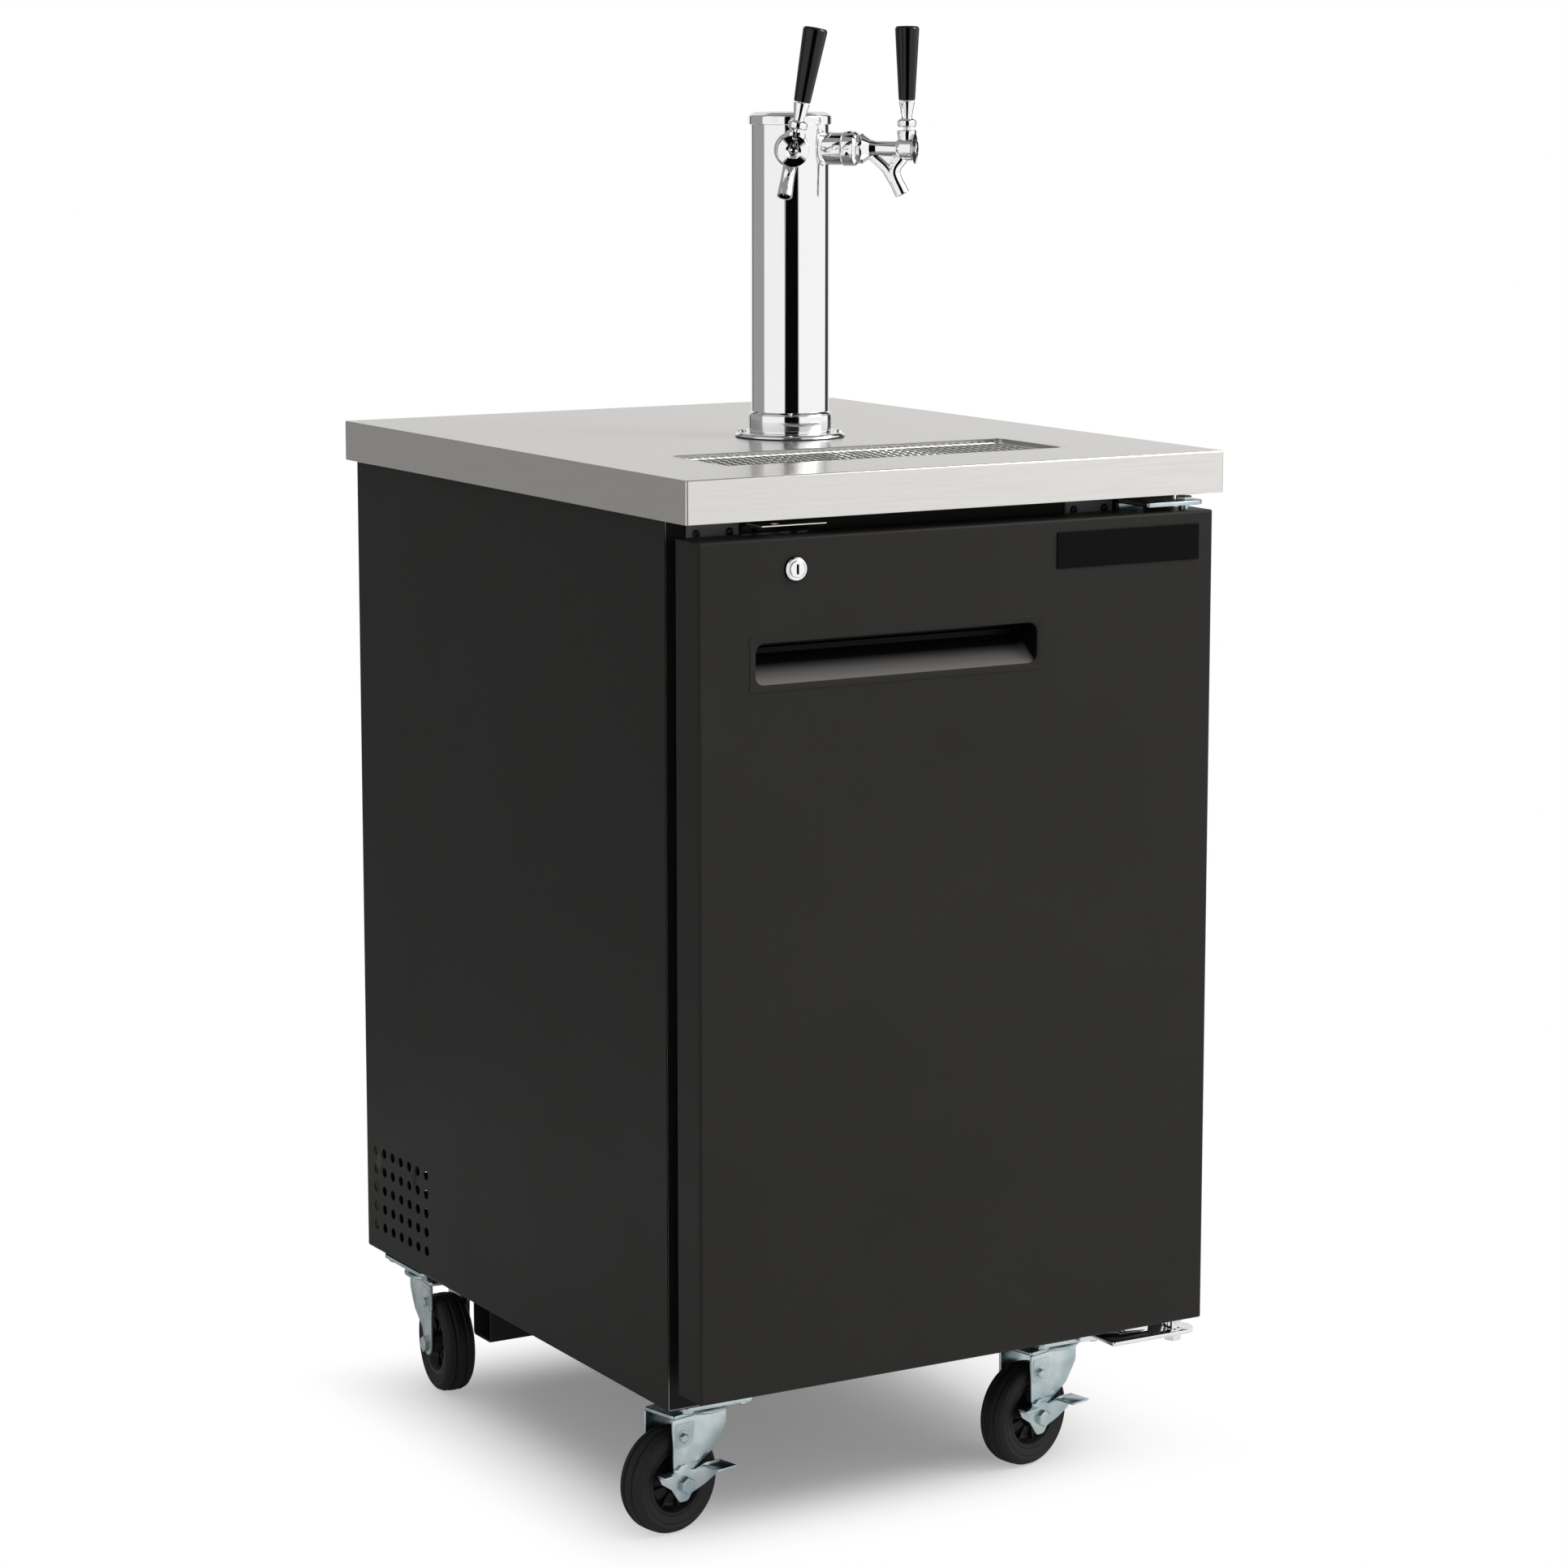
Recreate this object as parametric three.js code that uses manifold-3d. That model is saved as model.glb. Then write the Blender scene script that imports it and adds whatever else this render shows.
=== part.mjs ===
// Two-tap kegerator on casters: a black cabinet with one solid door, a stainless worktop with a
// sunk drip tray, a chrome tower with two faucets, and the refrigeration unit in the lower rear.
// Millimetres. X to the right, Y to the back, Z up; the origin is on the floor, below the middle
// of the worktop.

import * as THREE from 'three';
import { mergeVertices } from 'three/addons/utils/BufferGeometryUtils.js';
import Module from 'manifold-3d';

const wasm = await Module();
wasm.setup();

// Driving dimensions

const overrun = 2;
const seat = 0.3;
const round = { fine: 24, medium: 16, coarse: 8, hex: 6, corner: 4 };

const worktop = { width: 584, depth: 722, rim: 40, top: 1002, sheet: 1.5, holeRadius: 30 };
const cabinet = { overhang: 12, bottom: 130, wall: 1.2, frontInset: 63, backInset: 3 };

const bodyHalf = worktop.width / 2 - cabinet.overhang;
const bodyFront = -worktop.depth / 2 + cabinet.frontInset;
const bodyBack = worktop.depth / 2 - cabinet.backInset;
const worktopUnder = worktop.top - worktop.rim;
const innerHalf = bodyHalf - cabinet.wall;
const bodyFloor = cabinet.bottom + cabinet.wall;

const vents = { radius: 5, pitch: 20, columns: 7, rows: 5, aboveBottom: 28, fromBack: 22, sides: 6 };
const rearPanel = {
  thickness: 2, slotWidth: 150, slotHeight: 8, slotPitch: 20, slotRows: 8, slotAboveBottom: 30,
};
const insulation = { side: 50.8, floor: 50.8, ceiling: 50, back: 62 };
const machineRoom = { depth: 176, height: 218.8, sideWall: 6.8, stepBack: 52, stepTop: 42 };
const cavity = {
  halfWidth: innerHalf - insulation.side, floor: bodyFloor + insulation.floor,
  ceiling: worktopUnder - insulation.ceiling, back: bodyBack - insulation.back, wall: 1,
  portRadius: 34,
};
const room = {
  front: bodyBack - machineRoom.depth, top: bodyFloor + machineRoom.height,
  side: innerHalf - machineRoom.sideWall,
};
const shelf = { front: room.front - machineRoom.stepBack, top: room.top + machineRoom.stepTop };
const crossRail = { endInset: 36, fromBack: 216, width: 40, drop: 56 };
const compressor = {
  fromSide: 158.8, fromBack: 87, radius: 64, height: 158, dome: 26, foot: 8, flange: 6, footRadius: 40,
};
const condenser = {
  fromSide: 100.8, fromBack: 20, fromFront: 24, width: 34, height: 168, grooves: 9, groove: 6, fin: 3,
};
const condenserNose = room.front + condenser.fromFront;
const condenserRear = bodyBack - condenser.fromBack;
const shroud = { side: condenserRear - condenserNose, edge: 10, tipGap: 4 };
const condenserFan = {
  ahead: 60, shroud: 26, side: shroud.side, bore: shroud.side / 2 - shroud.edge, motorRadius: 22,
  motorLength: 34, blade: shroud.side / 2 - shroud.edge - shroud.tipGap, blades: 5,
  bladeWidth: 30, bladeThickness: 2, bladePitch: 24, hubRadius: 14, hubLength: 16, shaft: 3, strut: 8,
};
const evaporator = {
  fromSide: 58, fromCeiling: 22, height: 190, depth: 62, fanBore: 62, wall: 3,
  blade: 54, blades: 5, bladeWidth: 30, bladeThickness: 2, bladePitch: 20, hubRadius: 14, hubLength: 14,
  motorRadius: 20, shaft: 3, slotRows: 4, slotHeight: 8, slotMargin: 19, slotPitch: 22,
};

const dripTray = {
  x: -8, fromFront: 157, width: 372, depth: 116, sink: 26, wall: 2, lipWidth: 4, corner: 9,
  drainRadius: 9, drainLength: 13,
};
const dripGrille = {
  below: 4, thickness: 2, holeRadius: 7, pitch: 34, rowPitch: 28, margin: 14, sides: 6,
  leg: 6,
};

const tower = {
  x: 11, y: -25, radius: 38.1, wall: 1.6, height: 317, flangeRadius: 54, flange: 5,
  flangeEdge: 2.5, collarRadius: 41, collar: 20, capRadius: 40.5, cap: 13, capDome: 5, capEdge: 1.7,
  capCrown: 10, shankHeight: 281,
};
const faucetAngle = { left: -29, right: 46 };
const faucetRoll = { left: 10.5, right: 0 };
const shank = {
  radius: 11, tail: 18, collarRadius: 16, collar: 15, nutRadius: 17, nut: 15, nutEdge: 3, bore: 4.5,
  spannerRadius: 2.25, spannerHoles: [20, 110, 200, 290],
};
const faucet = {
  cone: 12, coneRadius: 14.5, coneRim: 4, neck: 7.5, neckTaper: 6, waist: 9, headAt: 116, headRadius: 11.5,
  headBackRadius: 9.2, headFrontRadius: 8, headBack: 9, headFront: 12, headBevel: 3.7, headNose: 1.9,
  bonnetRadius: 9, bonnet: 13, spoutStart: 97, spoutEnd: 112.4, spoutDrop: 43.5, spoutRadius: 6.8,
  spoutWall: 1.5, beadRise: 1, beadStart: 6, beadLength: 12, slotHalf: 3.4, pivotHeight: 6, ballRadius: 4,
  webStart: 82, webDrop: 28, webThickness: 8,
};
const lever = {
  neckRadius: 3, nutRadius: 9.2, nutBottom: 21, nutTop: 29, ferruleBottomRadius: 5, ferruleTop: 46,
  ferruleRadius: 8, gripTop: 118, gripLowRadius: 8, gripHighRadius: 11.8, gripCorner: 3,
};
const beerLine = {
  radius: 4.8, bend: 26, nutRadius: 13, nut: 20, belowTop: 342, spread: 22, steps: 20, sides: 8,
};

// The fittings of the door and the gap keep their distance from the door's and the body's edges.
const door = {
  front: -worktop.depth / 2, thickness: 44, bottomInset: 23, topInset: 16, skin: 2, gap: 0.6,
  hingeInset: 22, hingeBack: 17, pinRadius: 5,
};
const doorTop = worktopUnder - door.topInset;
const doorBottom = cabinet.bottom + door.bottomInset;
const gasket = { sideInset: 30, width: 15, topInset: 18, bottomInset: 15 };
const pocket = {
  fromSide: 52, width: 315, fromTop: 88, height: 51, frame: 6.5, proud: 1, depth: 35, wall: 2,
  corner: 9, slope: 22,
};
const lock = {
  fromSide: 100, fromTop: 29, radius: 11, proud: 3.5, plugRadius: 7.5, plugProud: 1, depth: 26,
  camRadius: 4, boltHalf: 4, boltRest: 3, boltLength: 40, clearance: 0.6, keyway: 1.4, keywayHeight: 8,
  keywayDepth: 3,
};
const badge = { fromSide: 17, width: 161, fromTop: 12, height: 34, thickness: 1.4 };
const strike = {
  beforeLock: 20, afterLock: 48, thickness: 2, overDoor: 6.5, reach: 37, flangeHeight: 14,
};
const cornerBracket = { width: 54, height: 21, thickness: 2, leftInset: 22, rightInset: 128, reach: 20 };
const topHinge = {
  fromSide: 72, blockWidth: 28, thickness: 4, overDoor: 5, armWidth: 24, blockHeight: 14, blockDepth: 10,
};
const bottomHinge = {
  fromSide: 102, thickness: 4, underDoor: 8, armWidth: 30, flangeHeight: 22, flangeThickness: 4,
  nutRadius: 9, nut: 8, pinLength: 24,
};

const caster = {
  wheelRadius: 50.8, wheelWidth: 32, trail: 34, plateWidth: 76, plateDepth: 94, plate: 4, plateCorner: 6,
  race: 7, raceRadius: 29, gap: 0.4, crown: 4, crownRadius: 33, legGap: 18.6, leg: 3, legFront: 20,
  legShoulder: 94, axleRadius: 5, boltRadius: 8.5, bolt: 6, bossRadius: 12, hubRadius: 33, boreRadius: 5.4,
  hubWeb: 8, hubWidth: 34, hubRim: 3, treadGroove: 2, grooveWidth: 3, grooveAt: 5.3, shoulder: 7,
  shoulderEdge: 2.3,
};
const casterInset = {
  frontLeft: 56, frontRight: 107, rearLeft: 38, rearRight: 90, front: 48, rear: 83,
};
const frontCasterY = bodyFront + casterInset.front;
const rearCasterY = bodyBack - casterInset.rear;
const casterPlaces = {
  front_left: { x: -bodyHalf + casterInset.frontLeft, y: frontCasterY, turn: -78, brake: true },
  front_right: { x: bodyHalf - casterInset.frontRight, y: frontCasterY, turn: -75, brake: true },
  rear_left: { x: -bodyHalf + casterInset.rearLeft, y: rearCasterY, turn: -7, brake: false },
  rear_right: { x: bodyHalf - casterInset.rearRight, y: rearCasterY, turn: 20, brake: false },
};
const pedal = {
  thickness: 2.5, arm: 46, armHeight: 20, tip: 10, lobeRadius: 15, wing: 24, wingLength: 24,
  wingRise: 12, offset: 0.6,
};

// Sizes that follow from the driving ones

const doorBack = door.front + door.thickness;
const hinge = { x: bodyHalf - door.hingeInset, y: door.front + door.hingeBack };
const shankZ = worktop.top + tower.shankHeight;
const trayY = -worktop.depth / 2 + dripTray.fromFront;
const lineEnd = worktop.top - beerLine.belowTop;
const compressorX = -innerHalf + compressor.fromSide;
const compressorY = bodyBack - compressor.fromBack;
const condenserX = innerHalf - condenser.fromSide;
const condenserFanX = condenserX - condenserFan.ahead;
const evaporatorHalf = cavity.halfWidth - evaporator.fromSide;
const evaporatorTop = cavity.ceiling - evaporator.fromCeiling;
const evaporatorBottom = evaporatorTop - evaporator.height;
const pocketLeft = -bodyHalf + pocket.fromSide;
const pocketRight = pocketLeft + pocket.width;
const pocketTop = doorTop - pocket.fromTop;
const pocketBottom = pocketTop - pocket.height;
const lockX = -bodyHalf + lock.fromSide;
const lockZ = doorTop - lock.fromTop;
const badgeRight = bodyHalf - badge.fromSide;
const badgeTop = doorTop - badge.fromTop;
const topHingeLeft = bodyHalf - topHinge.fromSide;
const topArmBottom = doorTop + topHinge.overDoor;
const bottomHingeLeft = bodyHalf - bottomHinge.fromSide;
const bottomArmTop = doorBottom - bottomHinge.underDoor;
const casterHeight = cabinet.bottom;
const plateUnder = casterHeight - caster.plate;
const crownTop = plateUnder - caster.race - caster.gap;

// Materials

function finish(color, roughness, metalness) {
  return new THREE.MeshStandardMaterial({ color, roughness, metalness });
}
const stainless = finish('#c9c8c5', 0.35, 1);
const chrome = finish('#dfe2e5', 0.08, 1);
const zinc = finish('#b9c4c8', 0.35, 1);
const blackPaint = finish('#2c2b29', 0.5, 0.2);
const blackPlastic = finish('#1d1d1c', 0.45, 0);
const glossBlack = finish('#0e0e0e', 0.12, 0);
const whitePlastic = finish('#e4e4e0', 0.5, 0);
const foam = finish('#d9c48c', 0.9, 0);
const rubber = finish('#191919', 0.8, 0);
const castIron = finish('#1a1a1c', 0.6, 0.4);
const aluminium = finish('#b4b6b8', 0.4, 1);
const galvanised = finish('#9ea3a6', 0.45, 1);
const board = finish('#a98b63', 0.8, 0);
const hose = finish('#d7dcd6', 0.4, 0);

// Solids: plain shapes as closed meshes, and the joins and cuts between them

function solidOf(geometry) {
  const bare = geometry.clone();
  bare.deleteAttribute('normal');
  bare.deleteAttribute('uv');
  const merged = mergeVertices(bare);
  return new wasm.Manifold(new wasm.Mesh({
    numProp: 3,
    vertProperties: new Float32Array(merged.attributes.position.array),
    triVerts: new Uint32Array(merged.index.array),
  }));
}

function geometryOf(solid) {
  const mesh = solid.getMesh();
  const geometry = new THREE.BufferGeometry();
  geometry.setAttribute('position', new THREE.BufferAttribute(new Float32Array(mesh.vertProperties), 3));
  geometry.setIndex(new THREE.BufferAttribute(new Uint32Array(mesh.triVerts), 1));
  geometry.computeVertexNormals();
  return geometry;
}

function block([x0, x1], [y0, y1], [z0, z1]) {
  const geometry = new THREE.BoxGeometry(x1 - x0, y1 - y0, z1 - z0);
  geometry.translate((x0 + x1) / 2, (y0 + y1) / 2, (z0 + z1) / 2);
  return solidOf(geometry);
}

// A turned piece about the Z axis: pairs of radius and height, counter-clockwise, outer side rising.
function turned(points, segments = round.medium) {
  const outline = points.map(([r, z]) => new THREE.Vector2(r, z));
  const geometry = new THREE.LatheGeometry(outline, segments);
  geometry.rotateX(Math.PI / 2);
  return solidOf(geometry);
}

function rod(radius, z0, z1, segments = round.medium) {
  return turned([[0, z0], [radius, z0], [radius, z1], [0, z1]], segments);
}

function ring(outer, inner, z0, z1, segments = round.medium) {
  return turned([[inner, z0], [outer, z0], [outer, z1], [inner, z1], [inner, z0]], segments);
}

function prism(points, z0, z1) {
  const shape = new THREE.Shape(points.map(([x, y]) => new THREE.Vector2(x, y)));
  const geometry = new THREE.ExtrudeGeometry(shape, { depth: z1 - z0, bevelEnabled: false });
  geometry.translate(0, 0, z0);
  return solidOf(geometry);
}

// A flat outline in X and Z, standing between two places along Y.
function uprightPrism(points, y0, y1) {
  const shape = new THREE.Shape(points.map(([x, z]) => new THREE.Vector2(x, z)));
  const geometry = new THREE.ExtrudeGeometry(shape, { depth: y1 - y0, bevelEnabled: false });
  geometry.rotateX(Math.PI / 2);
  geometry.translate(0, y1, 0);
  return solidOf(geometry);
}

// An outline in Y and Z, standing between two places along X.
function sidePrism(points, x0, x1) {
  const shape = new THREE.Shape(points.map(([y, z]) => new THREE.Vector2(y, z)));
  const geometry = new THREE.ExtrudeGeometry(shape, { depth: x1 - x0, bevelEnabled: false });
  geometry.rotateY(Math.PI / 2);
  geometry.rotateX(Math.PI / 2);
  geometry.translate(x0, 0, 0);
  return solidOf(geometry);
}

function roundedOutline(x0, x1, z0, z1, corner) {
  const steps = round.corner;
  const points = [];
  const corners = [[x1 - corner, z0 + corner, -90], [x1 - corner, z1 - corner, 0],
    [x0 + corner, z1 - corner, 90], [x0 + corner, z0 + corner, 180]];
  for (const [cx, cz, from] of corners) {
    for (let step = 0; step <= steps; step += 1) {
      const angle = THREE.MathUtils.degToRad(from + (90 * step) / steps);
      points.push([cx + corner * Math.cos(angle), cz + corner * Math.sin(angle)]);
    }
  }
  return points;
}

function hexRod(radius, z0, z1) {
  return rod(radius, z0, z1, round.hex);
}

function turnZ(solid, degrees) {
  return solid.rotate([0, 0, degrees]);
}

// From the Z axis to the -Y axis: what points up then points to the front.
function faceFront(solid) {
  return solid.rotate([90, 0, 0]);
}

// From the Z axis to the X axis.
function faceRight(solid) {
  return solid.rotate([0, 90, 0]);
}

const model = new THREE.Group();

function add(name, solid, material, parent = model) {
  const mesh = new THREE.Mesh(geometryOf(solid), material);
  mesh.name = name;
  parent.add(mesh);
  return mesh;
}

// Cabinet shell: side sheets, floor sheet and the vent holes of the machine room

function ventHoles() {
  const holes = [];
  const rearmost = bodyBack - vents.fromBack;
  const lowest = cabinet.bottom + vents.aboveBottom;
  for (let column = 0; column < vents.columns; column += 1) {
    for (let row = 0; row < vents.rows; row += 1) {
      const hole = faceRight(rod(vents.radius, -bodyHalf - overrun, bodyHalf + overrun, vents.sides));
      holes.push(hole.translate([
        0, rearmost - column * vents.pitch, lowest + row * vents.pitch]));
    }
  }
  return wasm.Manifold.union(holes);
}

function makeShell() {
  const outer = block([-bodyHalf, bodyHalf], [bodyFront, bodyBack], [cabinet.bottom, worktopUnder]);
  const inner = block([-innerHalf, innerHalf], [bodyFront - overrun, bodyBack + overrun],
    [bodyFloor, worktopUnder + overrun]);
  // The cross rail is welded under the floor sheet, ahead of the rear casters.
  const railHalf = bodyHalf - crossRail.endInset;
  const railFront = bodyBack - crossRail.fromBack;
  const rail = block([-railHalf, railHalf], [railFront, railFront + crossRail.width],
    [cabinet.bottom - crossRail.drop, bodyFloor]);
  add('cabinet_shell', outer.subtract(inner).subtract(ventHoles()).add(rail), blackPaint);
}

function makeRearPanel() {
  const back = bodyBack;
  const front = back - rearPanel.thickness;
  let panel = block([-innerHalf, innerHalf], [front, back], [bodyFloor, worktopUnder]);
  for (let row = 0; row < rearPanel.slotRows; row += 1) {
    const z = cabinet.bottom + rearPanel.slotAboveBottom + row * rearPanel.slotPitch;
    for (const side of [-1, 1]) {
      const middle = side * (innerHalf / 2);
      panel = panel.subtract(block([middle - rearPanel.slotWidth / 2, middle + rearPanel.slotWidth / 2],
        [front - overrun, back + overrun], [z, z + rearPanel.slotHeight]));
    }
  }
  add('rear_panel', panel, galvanised);
}

// Inner liner: a stainless box open to the front, stepped over the machine room, whose front rim
// closes the foam and carries the hinges and brackets

const linerHalf = cavity.halfWidth + cavity.wall;
const linerFloor = cavity.floor - cavity.wall;
const linerCeiling = cavity.ceiling + cavity.wall;
const linerBack = cavity.back + cavity.wall;
const stepFace = shelf.front - cavity.wall;
const stepLid = shelf.top + cavity.wall;
const foamFront = bodyFront + cavity.wall;
const foamBack = bodyBack - rearPanel.thickness;

function cavityPort(z0, z1) {
  return rod(cavity.portRadius, z0, z1).translate([tower.x, tower.y, 0]);
}

function linerOutside() {
  const whole = block([-linerHalf, linerHalf], [bodyFront - overrun, linerBack],
    [linerFloor, linerCeiling]);
  const step = block([-linerHalf - overrun, linerHalf + overrun],
    [shelf.front, linerBack + overrun], [linerFloor - overrun, shelf.top]);
  return whole.subtract(step);
}

function makeLiner() {
  const inside = block([-cavity.halfWidth, cavity.halfWidth], [bodyFront - overrun, cavity.back],
    [cavity.floor, cavity.ceiling]);
  const step = block([-linerHalf - overrun, linerHalf + overrun], [stepFace, linerBack + overrun],
    [linerFloor - overrun, stepLid]);
  const rim = block([-innerHalf, innerHalf], [bodyFront, foamFront], [bodyFloor, worktopUnder]);
  const walls = linerOutside().intersect(block([-innerHalf, innerHalf], [bodyFront, linerBack],
    [linerFloor, linerCeiling]));
  const liner = walls.add(rim).subtract(inside.subtract(step));
  add('cabinet_liner', liner.subtract(cavityPort(cavity.ceiling - overrun, linerCeiling + overrun)),
    stainless);
}

function makeFoam() {
  const whole = block([-innerHalf, innerHalf], [foamFront, foamBack], [bodyFloor, worktopUnder]);
  const unitSpace = block([-room.side, room.side], [room.front, foamBack + overrun],
    [bodyFloor - overrun, room.top]);
  add('foam_insulation', whole.subtract(linerOutside()).subtract(unitSpace)
    .subtract(cavityPort(linerCeiling - overrun, worktopUnder + overrun)), foam);
}

// Refrigeration unit in the machine room

function makeCompressor() {
  const base = bodyFloor;
  const seam = base + compressor.height / 2;
  const top = base + compressor.height;
  const foot = base + compressor.foot;
  const body = turned([
    [0, base], [compressor.footRadius, base], [compressor.footRadius, foot],
    [compressor.radius - compressor.dome, foot],
    [compressor.radius - compressor.flange, foot + compressor.dome],
    [compressor.radius - compressor.flange, seam - compressor.flange],
    [compressor.radius, seam - compressor.flange], [compressor.radius, seam],
    [compressor.radius - compressor.flange, seam],
    [compressor.radius - compressor.flange, top - compressor.dome],
    [compressor.radius - compressor.dome, top - compressor.flange], [0, top],
  ]);
  add('compressor', body.translate([compressorX, compressorY, 0]), castIron);
}

function makeCondenser() {
  const base = bodyFloor;
  const x0 = condenserX - condenser.width / 2;
  const x1 = condenserX + condenser.width / 2;
  let coil = block([x0, x1], [condenserNose, condenserRear], [base, base + condenser.height]);
  const pitch = (condenser.height - condenser.groove) / condenser.grooves;
  for (let index = 0; index < condenser.grooves; index += 1) {
    const z = base + condenser.groove + index * pitch;
    for (const [from, to] of [[x0 - overrun, x0 + condenser.fin], [x1 - condenser.fin, x1 + overrun]]) {
      coil = coil.subtract(block([from, to], [condenserNose + condenser.fin,
        condenserRear - condenser.fin], [z, z + pitch - condenser.fin]));
    }
  }
  add('condenser_coil', coil, aluminium);
}

function fanBlades(fan) {
  const hub = rod(fan.hubRadius, 0, fan.hubLength);
  const parts = [hub];
  for (let index = 0; index < fan.blades; index += 1) {
    const paddle = block([fan.hubRadius / 2, fan.blade], [-fan.bladeWidth / 2, fan.bladeWidth / 2],
      [-fan.bladeThickness / 2, fan.bladeThickness / 2]).rotate([fan.bladePitch, 0, 0])
      .translate([0, 0, fan.hubLength / 2]);
    parts.push(turnZ(paddle, (index * 360) / fan.blades));
  }
  const bore = rod(fan.shaft + seat, -overrun, fan.hubLength + overrun, round.coarse);
  return wasm.Manifold.union(parts).subtract(bore);
}

function makeCondenserFan() {
  const base = bodyFloor;
  const middleY = (condenserNose + condenserRear) / 2;
  const middleZ = base + condenserFan.side / 2;
  const half = condenserFan.side / 2;
  const x0 = condenserFanX;
  const x1 = x0 + condenserFan.shroud;
  const housing = block([x0, x1], [middleY - half, middleY + half], [base, base + condenserFan.side]);
  const bore = faceRight(rod(condenserFan.bore, x0 - overrun, x1 + overrun))
    .translate([0, middleY, middleZ]);
  const motor = faceRight(rod(condenserFan.motorRadius, x0 - condenserFan.motorLength, x0))
    .translate([0, middleY, middleZ]);
  const strut = block([x0 - condenserFan.strut, x0], [middleY - half, middleY + half],
    [middleZ - condenserFan.strut / 2, middleZ + condenserFan.strut / 2]);
  const shaft = faceRight(rod(condenserFan.shaft, x0 - overrun, x1, round.coarse))
    .translate([0, middleY, middleZ]);
  add('condenser_fan_motor', housing.subtract(bore).add(motor).add(strut).add(shaft), blackPlastic);
  const blade = faceRight(fanBlades(condenserFan));
  const mesh = add('condenser_fan_blade', blade, aluminium);
  mesh.position.set(x0 + (condenserFan.shroud - condenserFan.hubLength) / 2, middleY, middleZ);
}

// Evaporator in the top rear of the cavity, with its own fan

function makeEvaporator() {
  const front = cavity.back - evaporator.depth;
  const middleZ = (evaporatorBottom + evaporatorTop) / 2;
  const box = block([-evaporatorHalf, evaporatorHalf], [front, cavity.back],
    [evaporatorBottom, evaporatorTop]);
  const hollow = block([-evaporatorHalf + evaporator.wall, evaporatorHalf - evaporator.wall],
    [front + evaporator.wall, cavity.back - evaporator.wall],
    [evaporatorBottom + evaporator.wall, evaporatorTop - evaporator.wall]);
  const motorFront = front + evaporator.depth / 2;
  const motor = faceFront(rod(evaporator.motorRadius, -cavity.back, -motorFront))
    .translate([0, 0, middleZ]);
  const shaftStart = front + evaporator.wall;
  const shaft = faceFront(rod(evaporator.shaft, -motorFront - overrun, -shaftStart, round.coarse))
    .translate([0, 0, middleZ]);
  let housing = box.subtract(hollow).subtract(faceFront(rod(evaporator.fanBore,
    -front - evaporator.wall - overrun, -front + overrun)).translate([0, 0, middleZ]));
  const slotStart = evaporator.fanBore + evaporator.slotMargin;
  const slotEnd = evaporatorHalf - evaporator.slotMargin;
  for (let row = 0; row < evaporator.slotRows; row += 1) {
    const z = middleZ + (row - (evaporator.slotRows - 1) / 2) * evaporator.slotPitch;
    for (const side of [-1, 1]) {
      const ends = [side * slotStart, side * slotEnd];
      housing = housing.subtract(block(
        [Math.min(...ends), Math.max(...ends)],
        [front - overrun, front + evaporator.wall + overrun],
        [z - evaporator.slotHeight / 2, z + evaporator.slotHeight / 2]));
    }
  }
  add('evaporator_housing', housing.add(motor).add(shaft), whitePlastic);
  const blade = faceFront(fanBlades(evaporator));
  const mesh = add('evaporator_fan_blade', blade, blackPlastic);
  mesh.position.set(0, shaftStart + evaporator.hubLength + seat, middleZ);
}

// Worktop: a stainless top with a folded rim, sunk for the drip tray and bored for the tower

function trayOutline(grow) {
  return roundedOutline(dripTray.x - dripTray.width / 2 - grow, dripTray.x + dripTray.width / 2 + grow,
    trayY - dripTray.depth / 2 - grow, trayY + dripTray.depth / 2 + grow, dripTray.corner + grow);
}

const trayFloor = worktop.top - dripTray.sink;

function towerHole() {
  return rod(worktop.holeRadius, worktopUnder - overrun, worktop.top + overrun)
    .translate([tower.x, tower.y, 0]);
}

function makeWorktop() {
  const halfWidth = worktop.width / 2;
  const halfDepth = worktop.depth / 2;
  const sheet = worktop.sheet;
  const sheetUnder = worktop.top - sheet;
  const slab = block([-halfWidth, halfWidth], [-halfDepth, halfDepth], [worktopUnder, worktop.top]);
  const hollow = block([-halfWidth + sheet, halfWidth - sheet], [-halfDepth + sheet, halfDepth - sheet],
    [worktopUnder - overrun, sheetUnder]);
  const trayHole = prism(trayOutline(dripTray.lipWidth + seat), sheetUnder - overrun, worktop.top + overrun);
  add('worktop', slab.subtract(hollow).subtract(trayHole).subtract(towerHole()), stainless);

  // The board that fills the folded sheet from below and carries the tray and the tower.
  const core = block([-halfWidth + sheet, halfWidth - sheet], [-halfDepth + sheet, halfDepth - sheet],
    [worktopUnder, sheetUnder]);
  const trayRoom = prism(trayOutline(seat), trayFloor - dripTray.wall, worktop.top);
  const drain = rod(dripTray.drainRadius + seat, worktopUnder - overrun, trayFloor)
    .translate([dripTray.x, trayY, 0]);
  add('worktop_core', core.subtract(trayRoom).subtract(drain).subtract(towerHole()), board);
}

function makeDripTray() {
  const pan = prism(trayOutline(0), trayFloor - dripTray.wall, worktop.top);
  const lip = prism(trayOutline(dripTray.lipWidth), worktop.top - worktop.sheet, worktop.top);
  const hollow = prism(trayOutline(-dripTray.wall), trayFloor, worktop.top + overrun);
  const pipe = rod(dripTray.drainRadius, trayFloor - dripTray.drainLength, trayFloor - dripTray.wall / 2)
    .translate([dripTray.x, trayY, 0]);
  const bore = rod(dripTray.drainRadius - dripTray.wall, trayFloor - dripTray.drainLength - overrun,
    trayFloor + overrun).translate([dripTray.x, trayY, 0]);
  add('drip_tray', pan.add(lip).subtract(hollow).add(pipe).subtract(bore), stainless);
}

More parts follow.
